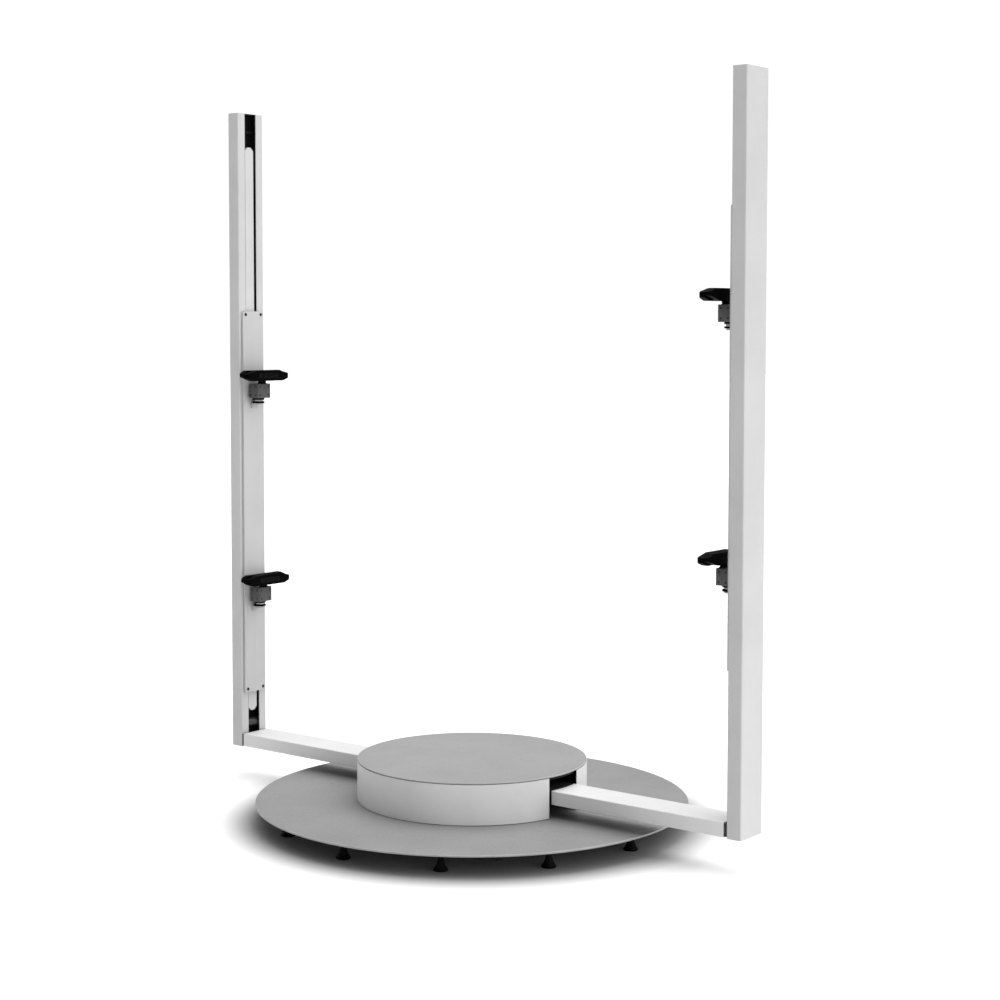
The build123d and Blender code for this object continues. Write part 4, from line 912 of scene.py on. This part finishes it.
@dataclass
class CameraBar(CameraPart):
    """One depth camera: a two-part moulded bar with long cut corners, lens rings and vents.

    Args:
        length: length of the bar across the column.
        depth: depth from its back to its front.
        height: height of the bar.
        reach: X of the joint between its halves.
        corner: radius of the outline's corners.
        edge: radius of the roll round each face.
        plan_corner: radius that rounds its ends, seen from above.
        front_top: length and height of the front half's upper cuts.
        front_bottom: the same of its lower cuts.
        rear_top: the same of the rear half's upper cuts.
        rear_bottom: the same of its lower cuts.
    """

    length: float = 172.0 * MM
    depth: float = 36.0 * MM
    height: float = 30.0 * MM
    reach: float = 752.0 * MM
    corner: float = 4.0 * MM
    edge: float = 2.0 * MM
    plan_corner: float = 12.0 * MM
    front_top: tuple[float, float] = (43.0 * MM, 10.0 * MM)
    front_bottom: tuple[float, float] = (26.0 * MM, 9.0 * MM)
    rear_top: tuple[float, float] = (22.0 * MM, 10.0 * MM)
    rear_bottom: tuple[float, float] = (48.0 * MM, 13.0 * MM)

    @property
    def floor(self) -> float:
        """Height of the bar's underside, which is the tilt axis."""
        return float(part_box(f"{self.stem}_sensor_housing")[0][2])

    def outline(
        self, top: tuple[float, float], bottom: tuple[float, float], shorter: float = 0.0
    ) -> np.ndarray:
        """Corners of a half seen from the front, anticlockwise from the lower left.

        Where the bar is cut shorter, each end moves in along the slanted cuts, so the height of an
        end corner is the cut's height times the share of the cut's length that is left.

        Args:
            top: length and height of the cut at both upper corners.
            bottom: the same at both lower corners.
            shorter: how much shorter each end is.

        Returns:
            Eight corners.
        """
        half, tall = self.length / 2.0, self.height
        end = half - shorter
        low = bottom[1] * (1.0 - shorter / bottom[0])
        high = tall - top[1] * (1.0 - shorter / top[0])
        return np.array(
            [
                [-half + bottom[0], 0.0],
                [half - bottom[0], 0.0],
                [end, low],
                [end, high],
                [half - top[0], tall],
                [-half + top[0], tall],
                [-end, high],
                [-end, low],
            ]
        )

    def shortening(self, depth: float) -> float:
        """How much shorter the bar's end is at a depth, from the circle that rounds it in plan."""
        into = max(0.0, abs(depth) - (self.depth / 2.0 - self.plan_corner))
        into = min(into, 0.97 * self.plan_corner)
        return self.plan_corner - math.sqrt(self.plan_corner**2 - into**2)

    def facing(self, reach: float, across: float = 0.0, height: float = 0.0) -> Placement:
        """A placement whose axis points out of the bar's front, towards the step."""
        return facing_step(self.side, reach, across, self.floor + height)

    def half_shell(self, cuts: tuple[tuple[float, float], tuple[float, float]], way: float) -> Shell:
        """One moulded half: its outline carried along the depth, rounded over at its face.

        At each depth the outline is shortened by the plan circle and, near the face, drawn in on a
        quarter circle.

        Args:
            cuts: the top and bottom cuts.
            way: 1 for the front half, -1 for the rear half.

        Returns:
            The shell.
        """
        half = self.depth / 2.0
        turn = np.linspace(0.0, np.pi / 2.0, 5)
        straight = np.linspace(0.35 * MM, half - self.edge, 7)[:-1]
        depths = np.concatenate([straight, half - self.edge + self.edge * np.sin(turn)])
        insets = np.concatenate([np.zeros(straight.size), self.edge * (1.0 - np.cos(turn))])
        outlines = [
            rounded_outline(self.outline(*cuts, self.shortening(depth)), self.corner, inset, 6)
            for depth, inset in zip(depths.tolist(), insets.tolist())
        ]
        heights = (way * depths).tolist()
        if way < 0.0:
            outlines, heights = outlines[::-1], heights[::-1]
        return self.facing(self.reach).stack(outlines, heights, 0)

    def seam(self) -> Shell:
        """The shadow gap between the halves: the shorter outline drawn in by a millimetre."""
        corners = self.outline(self.front_top, self.rear_bottom, 1.0 * MM)
        outline = rounded_outline(corners, self.corner, 1.0 * MM, 6)
        return self.facing(self.reach).stack([outline, outline], [-0.6 * MM, 0.6 * MM], 2)

    def lenses(self) -> list[Shell]:
        """Four lens rings on the window: each ring swells over a low roll, with a domed glass inside."""
        shells: list[Shell] = []
        window = self.depth / 2.0 + 0.6 * MM
        for across, radius in ((-32.0, 4.4), (-10.0, 3.2), (10.0, 5.0), (32.0, 4.4)):
            place = self.facing(self.reach, across * MM, self.height / 2.0)
            roll = np.linspace(0.0, np.pi, 7)
            outer = (radius + 0.7 * np.cos(roll)) * MM
            height = (window + 0.45 * np.sin(roll) * MM).tolist()
            ring = list(zip(outer.tolist(), height))
            ring = [(ring[0][0], window - 0.5 * MM)] + ring
            dome = np.linspace(0.1, np.pi / 2.0 - 0.15, 5)
            glass = [
                (radius * 0.86 * math.cos(t) * MM, window + (0.05 + 0.35 * math.sin(t)) * MM)
                for t in dome.tolist()
            ]
            shells.append(turned(place, ring, 36, 1))
            shells.append(turned(place, [(glass[0][0], window - 0.4 * MM)] + glass, 36, 2))
        return shells

    def vents(self) -> list[Shell]:
        """A row of cooling slots on the back face: eleven thin rounded bars in a dark finish."""
        shells: list[Shell] = []
        back = Placement(
            (self.side.value * (self.reach + self.depth / 2.0), 0.0, self.floor + 17.0 * MM),
            (0.0, float(self.side.value), 0.0),
            (0.0, 0.0, 1.0),
        )
        bar = rounded_outline(box_corners(1.1 * MM, 4.6 * MM), 1.0 * MM)
        for column in range(-5, 6):
            moved = bar + np.array([column * 5.5 * MM, 0.0])
            shells.append(back.stack([moved, moved], [-0.6 * MM, 0.05 * MM], 2))
        return shells

    def build(self) -> None:
        """Makes the bar as one piece on its sensor body, and dresses its window."""
        shells = [
            self.half_shell((self.front_top, self.front_bottom), 1.0),
            self.half_shell((self.rear_top, self.rear_bottom), -1.0),
            self.seam(),
            *self.lenses(),
            *self.vents(),
        ]
        piece = make_piece(f"{self.stem}_camera_bar", shells, f"{self.stem}_sensor")
        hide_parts(f"{self.stem}_sensor_housing")
        self.shop.dress(piece, Surface.HOUSING_BLACK, Surface.LENS_RING, Surface.LENS_GLASS)
        self.shop.dress_nodes(Surface.LENS_GLASS, f"{self.stem}_sensor_window")


@dataclass
class Carriage:
    """What rides in one column: the plate's screws, the camera brackets and the two cameras.

    Args:
        shop: the paint shop.
        side: which column it rides in.
        screw_across: distance of each plate screw from the middle.
        screw_inset: distance of each plate screw from the plate's end.
        face_reach: X of the plate's front face.
        shelf_half_width: half a shelf's width, and the radius of its end.
        shelf_reach: X of the shelf's rounded end's centre.
        shelf_root: X where the shelf meets the plate.
        shelf_thickness: thickness of the shelf and its leg.
        leg_drop: how far the leg reaches down.
        disc_gap: from the turning mount's underside down to the shelf's top.
    """

    shop: PaintShop
    side: Side
    screw_across: float = 30.0 * MM
    screw_inset: float = 9.0 * MM
    face_reach: float = 793.4 * MM
    shelf_half_width: float = 12.0 * MM
    shelf_reach: float = 774.0 * MM
    shelf_root: float = 792.4 * MM
    shelf_thickness: float = 4.0 * MM
    leg_drop: float = 14.0 * MM
    disc_gap: float = 5.3 * MM

    def screws(self) -> None:
        """Button-head screws at the plate's four corners."""
        low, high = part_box(f"{self.side.word}_carriage_plate")
        shells = [
            socket_screw(facing_step(self.side, self.face_reach, across, height), 4.6 * MM, 2.2 * MM)
            for across in (-self.screw_across, self.screw_across)
            for height in (low[2] + self.screw_inset, high[2] - self.screw_inset)
        ]
        piece = make_piece(f"{self.side.word}_plate_screws", shells, f"{self.side.word}_carriage")
        self.shop.dress(piece, Surface.BLACK_OXIDE)

    def brackets(self) -> None:
        """The two angle brackets under the cameras: a round-ended shelf, its leg and the fixed disc.

        The shelf's outline is a strip with a half circle at its free end, carried up its thickness.
        """
        sign = float(self.side.value)
        half, reach, root = self.shelf_half_width, self.shelf_reach, self.shelf_root
        half_leg = self.shelf_thickness / 2.0
        turn = np.linspace(np.pi / 2.0, 1.5 * np.pi, 17)
        rounded = np.stack([reach + half * np.cos(turn), half * np.sin(turn)], axis=-1)
        strip = np.concatenate([np.array([[root, -half], [root, half]]), rounded])
        leg = box_corners(half_leg, half) + np.array([root - half_leg, 0.0])
        disc = metres([(16.0, 0.0), (16.5, 0.5), (16.5, 4.5), (16.0, 5.0)])
        shells: list[Shell] = []
        for level in Level:
            mount = float(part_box(f"{self.side.word}_{level.value}_pan_mount")[0][2])
            top = mount - self.disc_gap
            shelf = Placement((0.0, 0.0, top), (sign, 0.0, 0.0), (0.0, sign, 0.0))
            shells.append(shelf.stack([strip, strip], [-self.shelf_thickness, 0.0], 0))
            leg_heights = [-self.leg_drop, 0.1 * MM - self.shelf_thickness]
            shells.append(shelf.stack([leg, leg], leg_heights, 0))
            shells.append(turned(Placement((sign * reach, 0.0, top)), disc, 48, 1))
        piece = make_piece(f"{self.side.word}_camera_brackets", shells, f"{self.side.word}_carriage")
        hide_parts(f"{self.side.word}_sensor_shelves")
        self.shop.dress(piece, Surface.SPACER_WHITE, Surface.DISC_BLACK)

    def build(self) -> None:
        """Makes the screws, cameras and brackets, and dresses the CAD pieces of the carriage."""
        word = self.side.word
        self.screws()
        for level in Level:
            CameraMount(self.shop, self.side, level).build()
            CameraBar(self.shop, self.side, level).build()
        self.shop.dress_nodes(Surface.PLATE_WHITE, f"{word}_carriage_plate")
        self.shop.dress_nodes(Surface.GROUND_STEEL, f"{word}_runners")
        self.shop.dress_nodes(Surface.TURNED_ALUMINIUM, f"{word}_belt_clamp")
        self.brackets()


@dataclass
class Column:
    """One slotted column with its rail and belt drive.

    Args:
        shop: the paint shop.
        side: which column it is.
        screw_pitch: distance between the rail's screw caps.
        bare_ends: how much of the rail has no caps, both ends together.
        rail_reach: X of the rail's front face.
    """

    shop: PaintShop
    side: Side
    screw_pitch: float = 75.0 * MM
    bare_ends: float = 40.0 * MM
    rail_reach: float = 806.0 * MM

    def rail_caps(self) -> None:
        """A row of flush caps over the rail's screws: a low disc inside a fine ring."""
        low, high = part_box(f"{self.side.word}_rail")
        count = int((high[2] - low[2] - self.bare_ends) / self.screw_pitch)
        first = (low[2] + high[2] - (count - 1) * self.screw_pitch) / 2.0
        profile = [(4.2, -0.4), (4.2, 0.06), (3.9, 0.1), (3.6, 0.02), (3.3, 0.1), (0.6, 0.12)]
        shells = [
            turned(
                facing_step(self.side, self.rail_reach, 0.0, first + step * self.screw_pitch),
                metres(profile),
                24,
            )
            for step in range(count)
        ]
        piece = make_piece(f"{self.side.word}_rail_caps", shells, "arm")
        self.shop.dress(piece, Surface.RAIL_ALUMINIUM)

    def build(self) -> None:
        """Makes the caps and dresses the column's CAD pieces."""
        word = self.side.word
        self.rail_caps()
        self.shop.dress_nodes(Surface.COLUMN_WHITE, f"{word}_column")
        self.shop.dress_nodes(Surface.FRAME_WHITE, f"{word}_beam")
        self.shop.dress_nodes(Surface.PLUG_GREY, f"{word}_joint_plug")
        self.shop.dress_nodes(Surface.RAIL_ALUMINIUM, f"{word}_rail")
        self.shop.dress_nodes(Surface.MOTOR_BLACK, f"{word}_lift_motor")
        self.shop.dress_nodes(Surface.BELT_RUBBER, f"{word}_belt")
        self.shop.dress_nodes(Surface.PULLEY_BLACK, f"{word}_drive_pulley", f"{word}_idler_pulley")


@dataclass
class Drum:
    """The step's drum: the skirt outside and the turning gear inside.

    Args:
        shop: the paint shop.
    """

    shop: PaintShop

    def build(self) -> None:
        """Dresses the drum's CAD pieces."""
        self.shop.dress_nodes(Surface.SKIRT_WHITE, "front_skirt", "rear_skirt")
        self.shop.dress_nodes(Surface.STEEL_BLACK, "platform_frame", "turntable", "center_post", "base_ribs")
        bearing = ("bearing_inner_ring", "bearing_outer_ring", "bearing_balls")
        self.shop.dress_nodes(Surface.GROUND_STEEL, *bearing, "sun_gear", "spin_pinion")
        self.shop.dress_nodes(Surface.BLACK_OXIDE, "post_screws", "turntable_screws", "joint_bolts")
        self.shop.dress_nodes(Surface.PULLEY_BLACK, "idler_axles")
        self.shop.dress_nodes(Surface.SLIP_BRASS, "slip_ring")
        self.shop.dress_nodes(Surface.MOTOR_BLACK, "spin_motor")
        covers = ("control_unit", "brush_block", "power_inlet", "column_caps")
        self.shop.dress_nodes(Surface.COVER_BLACK, *covers)


@dataclass(frozen=True)
class SoftLight:
    """One very broad soft light, as a bright patch of the sky.

    Args:
        height: angle of its middle above the floor, in degrees.
        turn: angle of its middle from +X towards +Y, in degrees.
        power: how tight it is; higher is tighter.
        strength: brightness at its middle.
    """

    height: float
    turn: float
    power: float
    strength: float

    def brightness(self, tree: bpy.types.NodeTree, way: Any) -> Any:
        """Strength times a power of the cosine of the angle to the middle, and none behind it.

        Args:
            tree: the node tree to add to.
            way: the socket with the direction.

        Returns:
            The output socket of the brightness.
        """
        height, turn = math.radians(self.height), math.radians(self.turn)
        middle = (math.cos(height) * math.cos(turn), math.cos(height) * math.sin(turn), math.sin(height))
        closeness = add_node(tree, "ShaderNodeVectorMath", {0: way, 1: middle}, operation="DOT_PRODUCT")
        facing = calculate(tree, "MAXIMUM", closeness.outputs["Value"], 0.0)
        return calculate(tree, "MULTIPLY", calculate(tree, "POWER", facing, self.power), self.strength)


@dataclass
class Studio:
    """Pale floor, a soft light overhead, weaker ones right and left, and dim light all round.

    Args:
        floor_radius: radius of the floor.
        overhead: the main soft light.
        right: the weaker soft light from the right.
        left: a faint soft light from the left.
        sky: brightness of the light all round.
        glow: strength of the painted light the floor emits further out, washing out cast shadows there.
        glow_start: radius where the painted light begins, at the machine's own edge.
        glow_full: radius where it is full.
        painted_shadow_start: radius inside which the paper is darkened as a painted shadow of the disc above
            it.
        painted_shadow_end: radius where the painted shadow has gone.
        painted_shadow_tint: sRGB hex colour of the paper under the painted shadow.
        focal_length: the lens, in millimetres on a 36 mm sensor.
        lens_shift: how far the lens is shifted sideways and up, in sensor widths.
        viewpoint: where the camera stands.
        lean: the camera's turn from looking straight down, in degrees.
        heading: the camera's turn about the vertical, in degrees.
    """

    floor_radius: float = 45.0
    overhead: SoftLight = SoftLight(74.0, 84.0, 4.0, 3.65)
    right: SoftLight = SoftLight(18.0, 4.0, 4.0, 1.95)
    left: SoftLight = SoftLight(15.0, 195.0, 4.0, 0.45)
    sky: float = 0.03
    glow: float = 0.36
    glow_start: float = 0.60
    glow_full: float = 0.76
    painted_shadow_start: float = 0.56
    painted_shadow_end: float = 0.66
    painted_shadow_tint: str = "8a8a8a"
    focal_length: float = 70.09
    lens_shift: tuple[float, float] = (0.0338, -0.0583)
    viewpoint: tuple[float, float, float] = (3.1389, -3.9422, 1.2930)
    lean: float = 86.534
    heading: float = 38.70

    def floor_material(self) -> bpy.types.Material:
        """White studio paper: matt, with the faintest cloudiness, a painted shadow under the disc, and
        painted light emitted further out.
        """
        paper = Finish(
            "white studio paper",
            "d8d8d8",
            "d6d6d6",
            roughness=0.95,
            roughness_spread=0.02,
            cloud_mm=2500.0,
            grain_mm=20.0,
            grain_depth_mm=0.0,
        ).build()
        tree = paper.node_tree
        shader = next(node for node in tree.nodes if node.type == "BSDF_PRINCIPLED")
        place = add_node(tree, "ShaderNodeTexCoord").outputs["Object"]
        radius = add_node(tree, "ShaderNodeVectorMath", {0: place}, operation="LENGTH").outputs["Value"]
        # Painted light: the paper emits light from the machine's edge outwards, washing out cast shadows.
        glow = stretch(tree, radius, self.glow_start, self.glow_full, 0.0, self.glow)
        paper_white = shader.inputs["Base Color"].links[0].from_socket
        # Painted shadow: the paper is darkened under and near the disc.
        edge = stretch(tree, radius, self.painted_shadow_start, self.painted_shadow_end, 0.0, 1.0)
        feeds = {0: edge, 6: linear(self.painted_shadow_tint), 7: paper_white}
        painted_shadow_mix = add_node(tree, "ShaderNodeMix", feeds, data_type="RGBA")
        tree.links.new(painted_shadow_mix.outputs[2], shader.inputs["Base Color"])
        shader.inputs["Emission Color"].default_value = (1.0, 1.0, 1.0, 1.0)
        tree.links.new(glow, shader.inputs["Emission Strength"])
        return paper

    def build_floor(self) -> None:
        """A round sheet with its top at the floor's level: rings at growing radii."""
        radii = np.geomspace(0.2, self.floor_radius, 24)
        outlines = [circle_outline(self.floor_radius, 96)]
        outlines += [circle_outline(float(r), 96) for r in radii[::-1]]
        heights = [-0.02] + [-0.0002] * len(radii)
        shell = Placement((0.0, 0.0, 0.0)).stack(outlines, heights)
        mesh = bpy.data.meshes.new("studio_floor")
        mesh.from_pydata(shell.rings.reshape(-1, 3).tolist(), [], shell.faces(0))
        floor = bpy.data.objects.new("studio_floor", mesh)
        bpy.context.scene.collection.objects.link(floor)
        mesh.materials.append(self.floor_material())

    def build_lights(self) -> None:
        """A sky of three soft lights on dim grey, which is plain white where the camera sees it."""
        world = bpy.data.worlds.new("studio")
        world.use_nodes = True
        tree = world.node_tree
        tree.nodes.clear()
        way = add_node(tree, "ShaderNodeTexCoord").outputs["Generated"]
        strength: Any = self.sky
        for light in (self.overhead, self.right, self.left):
            strength = calculate(tree, "ADD", light.brightness(tree, way), strength)
        white = (1.0, 1.0, 1.0, 1.0)
        seen = add_node(tree, "ShaderNodeLightPath").outputs["Is Camera Ray"]
        lit = add_node(tree, "ShaderNodeBackground", {"Color": white, "Strength": strength})
        shown = add_node(tree, "ShaderNodeBackground", {"Color": white, "Strength": 1.05})
        both = add_node(tree, "ShaderNodeMixShader", {0: seen, 1: lit.outputs[0], 2: shown.outputs[0]})
        add_node(tree, "ShaderNodeOutputWorld", {"Surface": both.outputs[0]})
        bpy.context.scene.world = world

    def build_camera(self) -> None:
        """The camera, a little above waist height, to the front right of the machine."""
        lens = bpy.data.cameras.new("camera")
        lens.lens = self.focal_length
        lens.sensor_width = 36.0
        lens.shift_x, lens.shift_y = self.lens_shift
        lens.clip_end = 200.0
        camera = bpy.data.objects.new("camera", lens)
        camera.location = self.viewpoint
        camera.rotation_euler = (math.radians(self.lean), 0.0, math.radians(self.heading))
        bpy.context.scene.collection.objects.link(camera)
        bpy.context.scene.camera = camera

    def build(self) -> None:
        """Sets the whole studio."""
        self.build_floor()
        self.build_lights()
        self.build_camera()
        bpy.context.scene.view_settings.view_transform = "Standard"


def main() -> None:
    """Builds the machine's looks and the studio, in order."""
    logging.basicConfig(level=logging.INFO, format="%(message)s")
    shop = PaintShop()
    Decks(shop).build()
    LevellingFeet(shop).build()
    Drum(shop).build()
    for side in Side:
        Column(shop, side).build()
        Carriage(shop, side).build()
    Studio().build()


if __name__ == "__main__":
    main()
